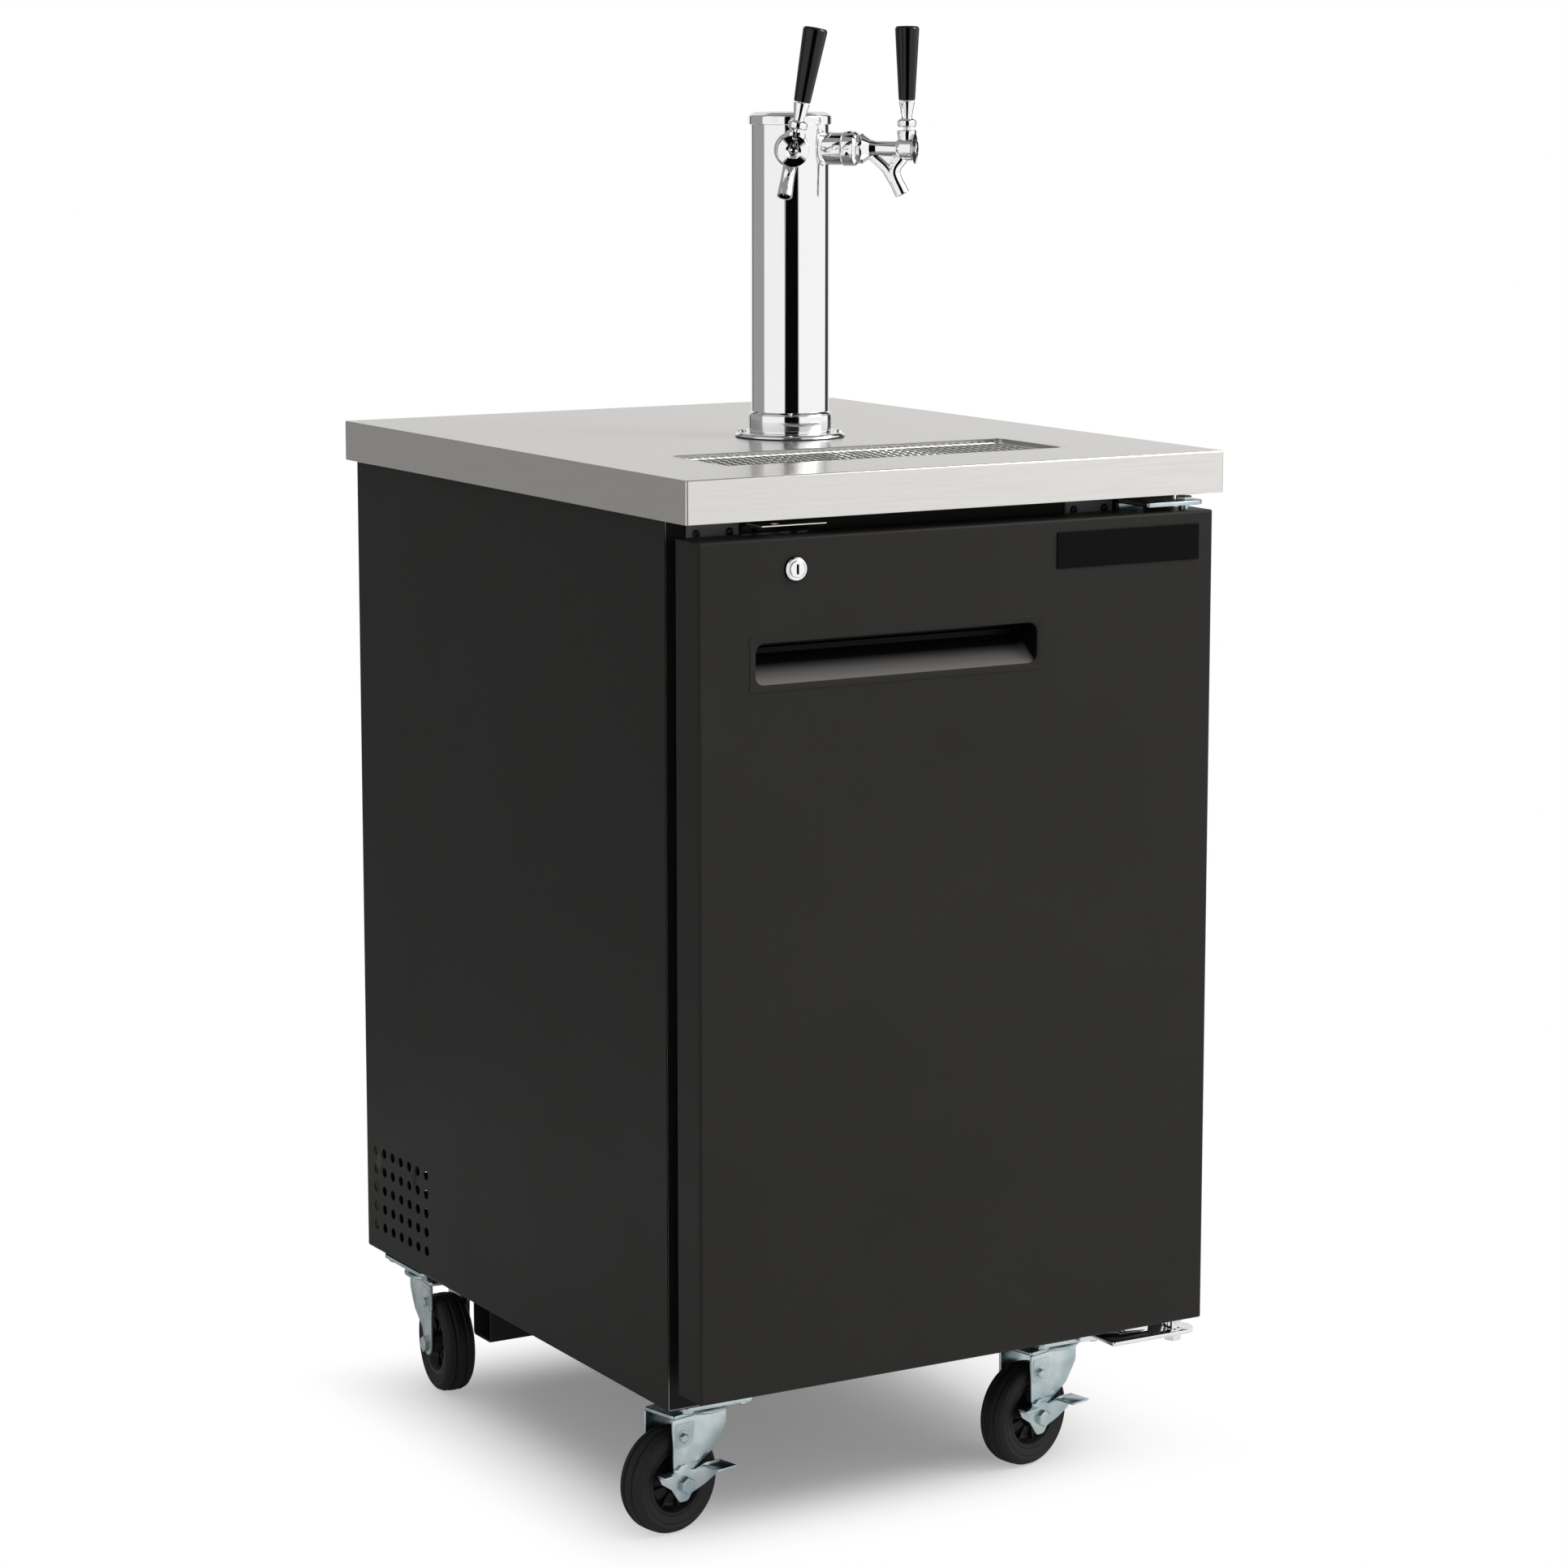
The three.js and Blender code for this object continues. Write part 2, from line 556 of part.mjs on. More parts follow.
function makeDripGrille() {
  const top = worktop.top - dripGrille.below;
  const under = top - dripGrille.thickness;
  const inset = -dripTray.wall - seat;
  let plate = prism(trayOutline(inset), under, top);
  const columns = Math.floor((dripTray.width - 2 * dripGrille.margin) / dripGrille.pitch);
  const rows = Math.floor((dripTray.depth - 2 * dripGrille.margin) / dripGrille.rowPitch);
  const holes = [];
  for (let row = 0; row <= rows; row += 1) {
    const odd = row % 2;
    for (let column = 0; column < columns + 1 - odd; column += 1) {
      const x = dripTray.x + (column + odd / 2 - columns / 2) * dripGrille.pitch;
      const y = trayY + (row - rows / 2) * dripGrille.rowPitch;
      holes.push(rod(dripGrille.holeRadius, under - overrun, top + overrun, dripGrille.sides)
        .translate([x, y, 0]));
    }
  }
  plate = plate.subtract(wasm.Manifold.union(holes));
  const legX = dripTray.width / 2 - dripTray.corner - dripGrille.leg;
  const legY = dripTray.depth / 2 - dripTray.wall - dripGrille.leg;
  for (const sideX of [-1, 1]) {
    for (const sideY of [-1, 1]) {
      const leg = rod(dripGrille.leg / 2, trayFloor, under + dripGrille.thickness / 2, round.coarse);
      plate = plate.add(leg.translate([dripTray.x + sideX * legX, trayY + sideY * legY, 0]));
    }
  }
  add('drip_grille', plate, stainless);
}

// Tower: screwed flange, mirror column, domed cap

function faucetFrame(side) {
  const turn = new THREE.Group();
  turn.position.set(tower.x, tower.y, shankZ);
  turn.rotation.z = THREE.MathUtils.degToRad(faucetAngle[side]);
  const roll = new THREE.Group();
  roll.rotation.y = THREE.MathUtils.degToRad(faucetRoll[side]);
  turn.add(roll);
  model.add(turn);
  return { turn, roll };
}

// What stands along the shank, from the tower axis outwards, in the faucet's own frame.
function alongShank(solid) {
  return faceFront(solid);
}

function makeTower() {
  const foot = worktop.top;
  const columnFoot = foot + tower.flange;
  const columnTop = foot + tower.height - tower.cap;
  const boreRadius = tower.radius - tower.wall;
  const flange = turned([
    [worktop.holeRadius, foot], [tower.flangeRadius, foot],
    [tower.flangeRadius, columnFoot - tower.flangeEdge], [tower.flangeRadius - tower.flangeEdge, columnFoot],
    [worktop.holeRadius, columnFoot], [worktop.holeRadius, foot],
  ], round.fine);
  add('tower_flange', flange.translate([tower.x, tower.y, 0]), chrome);

  let column = ring(tower.radius, boreRadius, columnFoot, columnTop, round.fine)
    .add(ring(tower.collarRadius, boreRadius, columnFoot, columnFoot + tower.collar, round.fine));
  for (const side of ['left', 'right']) {
    const hole = alongShank(rod(shank.radius + seat, 0, tower.radius + overrun));
    column = column.subtract(turnZ(hole, faucetAngle[side]).translate([0, 0, shankZ]));
  }
  add('tower_column', column.translate([tower.x, tower.y, 0]), chrome);

  const top = foot + tower.height;
  const cap = turned([
    [0, columnTop], [tower.capRadius, columnTop], [tower.capRadius, top - tower.capDome],
    [tower.capRadius - tower.capEdge, top - tower.capEdge],
    [tower.capRadius - tower.capCrown, top], [0, top],
  ], round.fine);
  add('tower_cap', cap.translate([tower.x, tower.y, 0]), chrome);
}

// Shank: threaded tube through the column with its outer collar; the coupling nut clamps the faucet

const collarStart = tower.radius + seat;
const nutStart = collarStart + shank.collar;
const faucetStart = nutStart + shank.nut;

function makeShank(side, frame) {
  const start = tower.radius - shank.tail;
  const shankEnd = nutStart + shank.nut / 2;
  const saddle = tower.radius + seat;
  const collarReach = shank.collarRadius + overrun;
  const collarSeat = rod(shank.collarRadius, saddle - shank.collar / 2, nutStart)
    .subtract(rod(saddle, -collarReach, collarReach, round.fine).rotate([90, 0, 0]));
  const body = rod(shank.radius, start, nutStart).add(collarSeat)
    .add(rod(shank.radius - seat, nutStart - seat, shankEnd));
  const bore = rod(shank.bore, start - overrun, shankEnd + overrun, round.coarse);
  add(`shank_${side}`, alongShank(body.subtract(bore)), chrome, frame);

  const nutEnd = faucetStart - seat;
  const nut = turned([
    [shank.radius, nutStart + seat], [shank.nutRadius, nutStart + seat],
    [shank.nutRadius, nutEnd - shank.nutEdge], [shank.nutRadius - shank.nutEdge, nutEnd],
    [shank.radius, nutEnd], [shank.radius, nutStart + seat],
  ]);
  const spannerHole = rod(shank.spannerRadius, shank.radius, shank.nutRadius + overrun, round.coarse)
    .rotate([0, 90, 0]).translate([0, 0, nutStart + shank.nut / 2]);
  const holes = shank.spannerHoles.map((angle) => turnZ(spannerHole, angle));
  add(`coupling_nut_${side}`, alongShank(nut.subtract(wasm.Manifold.union(holes))), chrome, frame);
}

// Faucet: cone, slim barrel, round head with the lever bonnet on top, and the spout below on its web

function makeFaucet(side, frame) {
  const coneEnd = faucetStart + faucet.cone;
  const tailStart = faucetStart - shank.nut / 2 + overrun;
  const headStart = faucet.headAt - faucet.headBack;
  const headEnd = faucet.headAt + faucet.headFront;
  const barrel = turned([
    [0, tailStart], [shank.radius - seat, tailStart],
    [shank.radius - seat, faucetStart], [faucet.coneRadius, faucetStart],
    [faucet.coneRadius, faucetStart + faucet.coneRim],
    [faucet.waist, coneEnd], [faucet.neck, coneEnd + faucet.neckTaper], [faucet.neck, headStart],
    [faucet.headBackRadius, headStart], [faucet.headRadius, headStart + faucet.headBevel],
    [faucet.headRadius, headEnd - faucet.headFront / 2],
    [faucet.headFrontRadius, headEnd - faucet.headNose], [0, headEnd],
  ]);
  const spoutPath = new THREE.LineCurve3(
    new THREE.Vector3(0, -faucet.spoutStart, 0),
    new THREE.Vector3(0, -faucet.spoutEnd, -faucet.spoutDrop),
  );
  const run = spoutPath.getLength();
  const beadStart = faucet.beadStart - run;
  const lean = THREE.MathUtils.radToDeg(Math.atan2(faucet.spoutEnd - faucet.spoutStart, faucet.spoutDrop));
  const spout = rod(faucet.spoutRadius, -run, 0).add(
    turned([[0, beadStart], [faucet.spoutRadius, beadStart],
      [faucet.spoutRadius + faucet.beadRise, beadStart + faucet.beadLength / 2],
      [faucet.spoutRadius, beadStart + faucet.beadLength], [0, beadStart + faucet.beadLength]]),
  ).rotate([-lean, 0, 0]).translate([0, -faucet.spoutStart, 0]);
  const spoutBore = rod(faucet.spoutRadius - faucet.spoutWall, -run - overrun, -run / 2)
    .rotate([-lean, 0, 0]).translate([0, -faucet.spoutStart, 0]);
  const webFoot = faucet.spoutStart
    + ((faucet.spoutEnd - faucet.spoutStart) * faucet.webDrop) / faucet.spoutDrop;
  const web = sidePrism([[-faucet.webStart, 0], [-webFoot, -faucet.webDrop], [-faucet.headAt, 0]],
    -faucet.webThickness / 2, faucet.webThickness / 2);
  const bonnet = rod(faucet.bonnetRadius, 0, faucet.headRadius + faucet.bonnet / 2)
    .translate([0, -faucet.headAt, 0]);
  // The slot in the bonnet leaves the lever room to come forward.
  const reach = faucet.headRadius + faucet.bonnet;
  const slot = block([-faucet.slotHalf - seat, faucet.slotHalf + seat],
    [-faucet.headAt - faucet.bonnetRadius - overrun, -faucet.headAt + faucet.slotHalf + seat],
    [faucet.pivotHeight - faucet.ballRadius - seat, reach]);
  const socket = faceRight(rod(faucet.ballRadius + seat, -faucet.ballRadius - seat,
    faucet.ballRadius + seat)).translate([0, -faucet.headAt, faucet.pivotHeight]);
  const body = alongShank(barrel).add(web).add(spout).add(bonnet).subtract(spoutBore).subtract(slot).subtract(socket);
  add(`faucet_body_${side}`, body, chrome, frame);
}

function makeLever(side, frame) {
  const pivot = new THREE.Group();
  pivot.position.set(0, -faucet.headAt, faucet.pivotHeight);
  frame.add(pivot);
  const down = faucet.pivotHeight;
  const stem = rod(lever.neckRadius, 0, lever.nutBottom - down + overrun)
    .add(faceRight(rod(faucet.ballRadius, -faucet.ballRadius, faucet.ballRadius)));
  const top = turned([
    [0, lever.nutBottom - down], [lever.nutRadius, lever.nutBottom - down],
    [lever.nutRadius, lever.nutTop - down], [lever.ferruleBottomRadius, lever.nutTop - down],
    [lever.ferruleRadius, lever.ferruleTop - down], [lever.neckRadius, lever.ferruleTop - down],
    [lever.neckRadius, lever.ferruleTop - down + lever.gripLowRadius],
    [0, lever.ferruleTop - down + lever.gripLowRadius],
  ]);
  add(`tap_lever_${side}`, stem.add(top), chrome, pivot);
  const gripFoot = lever.ferruleTop - down + seat;
  const gripTop = lever.gripTop - down;
  const grip = turned([
    [0, gripFoot], [lever.gripLowRadius, gripFoot],
    [lever.gripHighRadius, gripTop - lever.gripCorner],
    [lever.gripHighRadius - lever.gripCorner, gripTop], [0, gripTop],
  ]).subtract(rod(lever.neckRadius + seat, gripFoot - overrun, gripFoot + lever.gripLowRadius + seat));
  add(`tap_grip_${side}`, grip, glossBlack, pivot);
}

// Beer line: from the shank's tail down the column into the cavity, with the keg nut on its end

function makeBeerLine(side) {
  const angle = THREE.MathUtils.degToRad(faucetAngle[side]);
  const outward = new THREE.Vector2(Math.sin(angle), -Math.cos(angle));
  const tailAt = tower.radius - shank.tail - seat;
  const across = side === 'left' ? -beerLine.spread / 2 : beerLine.spread / 2;
  const point = (reach, z, x = tower.x, y = tower.y) => new THREE.Vector3(
    x + outward.x * reach, y + outward.y * reach, z,
  );
  const lowX = tower.x + across;
  const path = new THREE.CatmullRomCurve3([
    point(tailAt, shankZ),
    point(tailAt - beerLine.radius, shankZ),
    new THREE.Vector3(lowX, tower.y, shankZ - beerLine.bend),
    new THREE.Vector3(lowX, tower.y, worktop.top),
    new THREE.Vector3(lowX, tower.y, lineEnd + beerLine.nut),
  ], false, 'centripetal');
  const rim = [];
  for (let index = 0; index < beerLine.sides; index += 1) {
    const turn = (index * Math.PI * 2) / beerLine.sides;
    rim.push(new THREE.Vector2(beerLine.radius * Math.cos(turn), beerLine.radius * Math.sin(turn)));
  }
  const tube = new THREE.ExtrudeGeometry(new THREE.Shape(rim), {
    steps: beerLine.steps, bevelEnabled: false, extrudePath: path,
  });
  const nut = hexRod(beerLine.nutRadius, lineEnd, lineEnd + beerLine.nut + overrun)
    .translate([lowX + Math.sign(across) * beerLine.nutRadius / 2, tower.y, 0]);
  add(`beer_line_${side}`, solidOf(tube).add(nut), hose);
}

// Door: painted skin, foam-filled liner, magnetic gasket, moulded handle pocket, bare badge plate

const doorHalf = bodyHalf;
const skinBack = doorBack - door.skin;
const lockDepthEnd = door.front + lock.depth;
const lockBoltY = lockDepthEnd + lock.boltHalf + lock.clearance + lock.camRadius;

function pocketHole(grow, y0, y1) {
  return block([pocketLeft + pocket.frame - grow, pocketRight - pocket.frame + grow], [y0, y1],
    [pocketBottom + pocket.frame - grow, pocketTop - pocket.frame + grow]);
}

function hingeBores() {
  const radius = door.pinRadius + seat;
  return rod(radius, doorBottom - overrun, doorBottom + bottomHinge.pinLength)
    .add(rod(radius, doorTop - bottomHinge.pinLength, doorTop + overrun))
    .translate([hinge.x, hinge.y, 0]);
}

function boltChannel() {
  const half = lock.boltHalf + lock.clearance;
  return block([lockX - half, lockX + half], [lockBoltY - half, lockBoltY + half],
    [lockZ - lock.boltLength, doorTop + overrun]);
}

function makeDoor(frame) {
  const outer = block([-doorHalf, doorHalf], [door.front, skinBack], [doorBottom, doorTop]);
  const inner = block([-doorHalf + door.skin, doorHalf - door.skin], [door.front + door.skin, doorBack],
    [doorBottom + door.skin, doorTop - door.skin]);
  const lockHole = faceFront(rod(lock.radius + seat, -doorBack, -door.front + overrun))
    .translate([lockX, 0, lockZ]);
  const lockRoom = faceFront(rod(lock.radius + lock.clearance, -lockBoltY - lock.camRadius,
    -door.front + overrun)).translate([lockX, 0, lockZ]);
  const skin = outer.subtract(inner).subtract(pocketHole(pocket.wall + seat, door.front - overrun,
    door.front + door.skin + overrun)).subtract(lockHole).subtract(boltChannel()).subtract(hingeBores());
  add('door_skin', skin, blackPaint, frame);

  const gap = door.gap;
  const core = block([-doorHalf + door.skin + gap, doorHalf - door.skin - gap],
    [door.front + door.skin, doorBack], [doorBottom + door.skin + gap, doorTop - door.skin - gap]);
  const pocketRoom = pocketHole(pocket.wall + seat, door.front,
    door.front + pocket.depth + pocket.wall + seat);
  add('door_liner', core.subtract(pocketRoom).subtract(lockRoom).subtract(boltChannel())
    .subtract(hingeBores()), whitePlastic, frame);

  const sealFront = doorBack;
  const sealBack = bodyFront - seat;
  const gasketHalf = doorHalf - gasket.sideInset;
  const gasketTop = doorTop - gasket.topInset;
  const gasketBottom = doorBottom + gasket.bottomInset;
  const seal = block([-gasketHalf, gasketHalf], [sealFront, sealBack], [gasketBottom, gasketTop]);
  const sealHole = block([-gasketHalf + gasket.width, gasketHalf - gasket.width],
    [sealFront - overrun, sealBack + overrun],
    [gasketBottom + gasket.width, gasketTop - gasket.width]);
  add('door_gasket', seal.subtract(sealHole), rubber, frame);

  const plate = block([badgeRight - badge.width, badgeRight], [door.front - badge.thickness, door.front],
    [badgeTop - badge.height, badgeTop]);
  add('badge_plate', plate, glossBlack, frame);
}

function makePocket(frame) {
  const face = door.front - pocket.proud;
  const y1 = door.front + pocket.depth;
  const frameSolid = uprightPrism([
    [pocketLeft, pocketBottom], [pocketRight, pocketBottom],
    [pocketRight, pocketTop], [pocketLeft, pocketTop],
  ], face, door.front);
  const box = pocketHole(pocket.wall, face, y1 + pocket.wall);
  const opening = roundedOutline(pocketLeft + pocket.frame, pocketRight - pocket.frame,
    pocketBottom + pocket.frame, pocketTop - pocket.frame, pocket.corner);
  const hollow = uprightPrism(opening, face - overrun, y1);
  // The floor of the pocket slopes up from the front lip to the back wall.
  const low = pocketBottom + pocket.frame;
  const ramp = sidePrism([[door.front, low - pocket.wall / 2], [y1 + pocket.wall / 2, low - pocket.wall / 2],
    [y1 + pocket.wall / 2, low + pocket.slope], [y1, low + pocket.slope]],
  pocketLeft + pocket.frame, pocketRight - pocket.frame);
  add('handle_pocket', frameSolid.add(box).subtract(hollow).add(ramp), blackPlastic, frame);
}

// Lock: chrome barrel, turning plug with its tail, and the bolt that rises into the strike

function makeLock(frame) {
  const barrelRod = ring(lock.radius, lock.plugRadius + seat, -lockDepthEnd, -door.front + lock.proud);
  add('lock_barrel', faceFront(barrelRod).translate([lockX, 0, lockZ]), chrome, frame);

  const plugFront = door.front - lock.proud - lock.plugProud;
  const plug = rod(lock.plugRadius, -lockDepthEnd, -plugFront)
    .subtract(block([-lock.keyway / 2, lock.keyway / 2], [-lock.keywayHeight / 2, lock.keywayHeight / 2],
      [-plugFront - lock.keywayDepth, -plugFront + overrun]))
    .add(rod(lock.camRadius, -lockDepthEnd - lock.camRadius, -lockDepthEnd + overrun, round.coarse));
  const plugMesh = add('lock_plug', faceFront(plug), chrome, frame);
  plugMesh.position.set(lockX, 0, lockZ);

  const boltTop = doorTop - lock.boltRest;
  const half = lock.boltHalf;
  const bolt = block([lockX - half, lockX + half], [lockBoltY - half, lockBoltY + half],
    [boltTop - lock.boltLength, boltTop]);
  add('lock_bolt', bolt, zinc, frame);
}

// Fixed fittings on the cabinet's front rim

function makeStrike() {
  const strikeUnder = doorTop + strike.overDoor;
  const plateBack = bodyFront;
  const span = [lockX - strike.beforeLock, lockX + strike.afterLock];
  const plate = block(span, [plateBack - strike.thickness, plateBack],
    [strikeUnder - strike.flangeHeight / 2, strikeUnder + strike.thickness]);
  const tongue = block(span, [plateBack - strike.reach, plateBack],
    [strikeUnder, strikeUnder + strike.thickness]);
  const half = lock.boltHalf + lock.clearance;
  const hole = block([lockX - half, lockX + half], [lockBoltY - half, lockBoltY + half],
    [strikeUnder - overrun, strikeUnder + strike.thickness + overrun]);
  add('lock_strike', plate.add(tongue).subtract(hole), stainless);
}

function makeCornerBracket(name, left) {
  const right = left + cornerBracket.width;
  const face = bodyFront;
  const upright = block([left, right], [face - cornerBracket.thickness, face],
    [worktopUnder - cornerBracket.height, worktopUnder]);
  const ledge = block([left, right], [face - cornerBracket.reach, face],
    [worktopUnder - cornerBracket.thickness, worktopUnder]);
  add(name, upright.add(ledge), stainless);
}

function pinPlate(y, x0, width, z0, z1) {
  const points = [[x0, y + width / 2], [x0, y - width / 2]];
  const steps = round.coarse;
  for (let step = 0; step <= steps; step += 1) {
    const angle = -Math.PI / 2 + (Math.PI * step) / steps;
    points.push([hinge.x + (width / 2) * Math.cos(angle), y + (width / 2) * Math.sin(angle)]);
  }
  return prism(points, z0, z1);
}

function makeHinges() {
  const face = bodyFront;
  const pinEnd = bottomHinge.pinLength - seat;
  const topArmTop = topArmBottom + topHinge.thickness;
  const topBlock = block([topHingeLeft, topHingeLeft + topHinge.blockWidth],
    [face - topHinge.blockDepth, face], [topArmTop - topHinge.blockHeight, topArmTop]);
  const topLink = block([topHingeLeft, topHingeLeft + topHinge.blockWidth],
    [hinge.y - topHinge.armWidth / 2, face], [topArmBottom, topArmTop]);
  const topArm = pinPlate(hinge.y, topHingeLeft, topHinge.armWidth, topArmBottom, topArmTop);
  const topPin = rod(door.pinRadius, doorTop - pinEnd, topArmTop + topHinge.thickness)
    .translate([hinge.x, hinge.y, 0]);
  add('top_hinge', topBlock.add(topLink).add(topArm).add(topPin), zinc);

  const armBottom = bottomArmTop - bottomHinge.thickness;
  const flange = block([bottomHingeLeft, hinge.x], [face - bottomHinge.flangeThickness, face],
    [cabinet.bottom, cabinet.bottom + bottomHinge.flangeHeight]);
  const link = block([bottomHingeLeft, hinge.x], [hinge.y, face], [armBottom, bottomArmTop]);
  const arm = pinPlate(hinge.y, bottomHingeLeft, bottomHinge.armWidth, armBottom, bottomArmTop);
  const pin = rod(door.pinRadius, armBottom - bottomHinge.nut, doorBottom + pinEnd)
    .add(rod(bottomHinge.nutRadius, bottomArmTop - seat, doorBottom - seat))
    .add(hexRod(bottomHinge.nutRadius, armBottom - bottomHinge.nut, armBottom + seat));
  add('bottom_hinge', flange.add(link).add(arm).add(pin.translate([hinge.x, hinge.y, 0])), zinc);
}

// Casters: top plate with the ball race, swivelling fork with its axle, hub and grooved tyre, and
// the side brake on the front pair. Each stands in its own frame, the swivel axis at the origin,
// trailing towards -Y.

function makeCasterPlate(name, place) {
  const plate = prism(roundedOutline(-caster.plateWidth / 2, caster.plateWidth / 2, -caster.plateDepth / 2,
    caster.plateDepth / 2, caster.plateCorner), plateUnder, casterHeight);
  const race = rod(caster.raceRadius, plateUnder - caster.race, plateUnder + overrun / 2);
  add(`caster_plate_${name}`, plate.add(race).translate([place.x, place.y, 0]), zinc);
}

function makeFork(name, frame) {
  const axleZ = caster.wheelRadius;
  const crownUnder = crownTop - caster.crown;
  const back = -caster.trail - caster.bossRadius;
  const crown = rod(caster.crownRadius, crownUnder, crownTop).add(
    block([-caster.legGap - caster.leg, caster.legGap + caster.leg], [back, 0], [crownUnder, crownTop]),
  );
  const outline = [[back, crownTop], [back, axleZ]];
  const steps = round.coarse / 2;
  for (let step = 0; step <= steps; step += 1) {
    const angle = Math.PI + (Math.PI * step) / steps;
    outline.push([-caster.trail + caster.bossRadius * Math.cos(angle),
      axleZ + caster.bossRadius * Math.sin(angle)]);
  }
  outline.push([caster.legFront, caster.legShoulder], [caster.legFront, crownTop]);
  let fork = crown;
  for (const side of [-1, 1]) {
    const inner = side * caster.legGap;
    const outer = side * (caster.legGap + caster.leg);
    fork = fork.add(sidePrism(outline, Math.min(inner, outer), Math.max(inner, outer)));
  }
  const boltOuter = caster.legGap + caster.leg + pedal.offset + pedal.thickness + seat;
  const axle = rod(caster.axleRadius, -boltOuter, boltOuter + overrun)
    .add(hexRod(caster.boltRadius, -boltOuter - caster.bolt + pedal.thickness,
      -caster.legGap - caster.leg + seat))
    .add(hexRod(caster.boltRadius, boltOuter, boltOuter + caster.bolt));
  add(`caster_fork_${name}`, fork.add(faceRight(axle).translate([0, -caster.trail, axleZ])), zinc, frame);
}

function makeWheel(name, frame) {
  const wheel = new THREE.Group();
  wheel.position.set(0, -caster.trail, caster.wheelRadius);
  wheel.rotation.y = Math.PI / 2;
  frame.add(wheel);
  const half = caster.wheelWidth / 2;
  const web = caster.hubWeb / 2;
  const hubHalf = caster.hubWidth / 2;
  const barrel = caster.boreRadius + caster.hubWeb / 2 + caster.hubRim;
  const rim = caster.hubRadius - caster.hubRim;
  const hub = turned([
    [caster.boreRadius, -hubHalf], [barrel, -hubHalf], [barrel, -web], [rim, -web], [rim, -half + web],
    [caster.hubRadius, -half + web], [caster.hubRadius, half - web], [rim, half - web], [rim, web],
    [barrel, web], [barrel, hubHalf], [caster.boreRadius, hubHalf], [caster.boreRadius, -hubHalf],
  ]);
  add(`caster_hub_${name}`, hub, blackPlastic, wheel);
  const inner = caster.hubRadius + seat;
  const radius = caster.wheelRadius;
  const groove = caster.grooveWidth / 2;
  const middle = caster.grooveAt;
  const tyre = turned([
    [inner, -half + web], [radius - caster.shoulder, -half],
    [radius - caster.shoulderEdge, -half + caster.shoulder / 2], [radius, -middle - groove],
    [radius - caster.treadGroove, -middle], [radius, -middle + groove],
    [radius, middle - groove], [radius - caster.treadGroove, middle], [radius, middle + groove],
    [radius - caster.shoulderEdge, half - caster.shoulder / 2], [radius - caster.shoulder, half],
    [inner, half - web], [inner, -half + web],
  ], round.fine);
  add(`caster_tyre_${name}`, tyre, rubber, wheel);
}

function makePedal(name, frame) {
  const pivot = new THREE.Group();
  pivot.position.set(0, -caster.trail, caster.wheelRadius);
  frame.add(pivot);
  const x0 = caster.legGap + caster.leg + pedal.offset;
  const x1 = x0 + pedal.thickness;
  const arms = sidePrism([
    [-pedal.arm + pedal.wingLength / 2, pedal.wingRise / 2],
    [-pedal.arm + pedal.wingLength / 2, -pedal.wingRise / 2], [-pedal.lobeRadius / 2, -pedal.armHeight / 2],
    [pedal.lobeRadius, -pedal.armHeight / 2], [pedal.arm, pedal.wingRise - pedal.tip / 2],
    [pedal.arm, pedal.wingRise + pedal.tip / 2], [pedal.lobeRadius, pedal.armHeight / 2],
    [-pedal.lobeRadius, pedal.armHeight / 2],
  ], x0, x1);
  const lobe = faceRight(rod(pedal.lobeRadius, x0, x1)).translate([0, 0, -pedal.tip / 2]);
  const frontWing = block([x0, x0 + pedal.wing], [pedal.arm - pedal.wingLength / 2, pedal.arm],
    [pedal.wingRise, pedal.wingRise + pedal.thickness]);
  const backWing = block([x0, x0 + pedal.wing / 2],
    [-pedal.arm + pedal.wingLength / 2, -pedal.arm + pedal.wingLength],
    [pedal.wingRise / 2 - pedal.thickness, pedal.wingRise / 2]);
  const bore = faceRight(rod(caster.axleRadius + seat, x0 - overrun, x1 + overrun));
  add(`brake_pedal_${name}`, arms.add(lobe).add(frontWing).add(backWing).subtract(bore), zinc, pivot);
}

function makeCaster(name, place) {
  makeCasterPlate(name, place);
  const frame = new THREE.Group();
  frame.position.set(place.x, place.y, 0);
  frame.rotation.z = THREE.MathUtils.degToRad(place.turn);
  model.add(frame);
  makeFork(name, frame);
  makeWheel(name, frame);
  if (place.brake) {
    makePedal(name, frame);
  }
}

// Assembly, from the cabinet outwards

makeShell();
makeRearPanel();
makeLiner();
makeFoam();
makeCompressor();
makeCondenser();
makeCondenserFan();
makeEvaporator();
makeWorktop();
makeDripTray();
makeDripGrille();
makeTower();

for (const side of ['left', 'right']) {
  const frame = faucetFrame(side);
  makeShank(side, frame.turn);
  makeFaucet(side, frame.roll);
  makeLever(side, frame.roll);
  makeBeerLine(side);
}

const doorFrame = new THREE.Group();
model.add(doorFrame);
makeDoor(doorFrame);
makePocket(doorFrame);
makeLock(doorFrame);

makeStrike();
makeCornerBracket('bracket_left', -bodyHalf + cornerBracket.leftInset);
makeCornerBracket('bracket_right', bodyHalf - cornerBracket.rightInset);
makeHinges();

for (const [name, place] of Object.entries(casterPlaces)) {
  makeCaster(name, place);
}

export default model;
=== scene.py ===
# The looks of a two-tap kegerator on casters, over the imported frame. The camera and the studio come
# first, then each piece in the order in which the cabinet is put together. Places and sizes are in
# millimetres, with X to the right, Y to the back and Z up; finished pieces are in metres.

import math

import bmesh
import bpy
from mathutils import Matrix, Vector


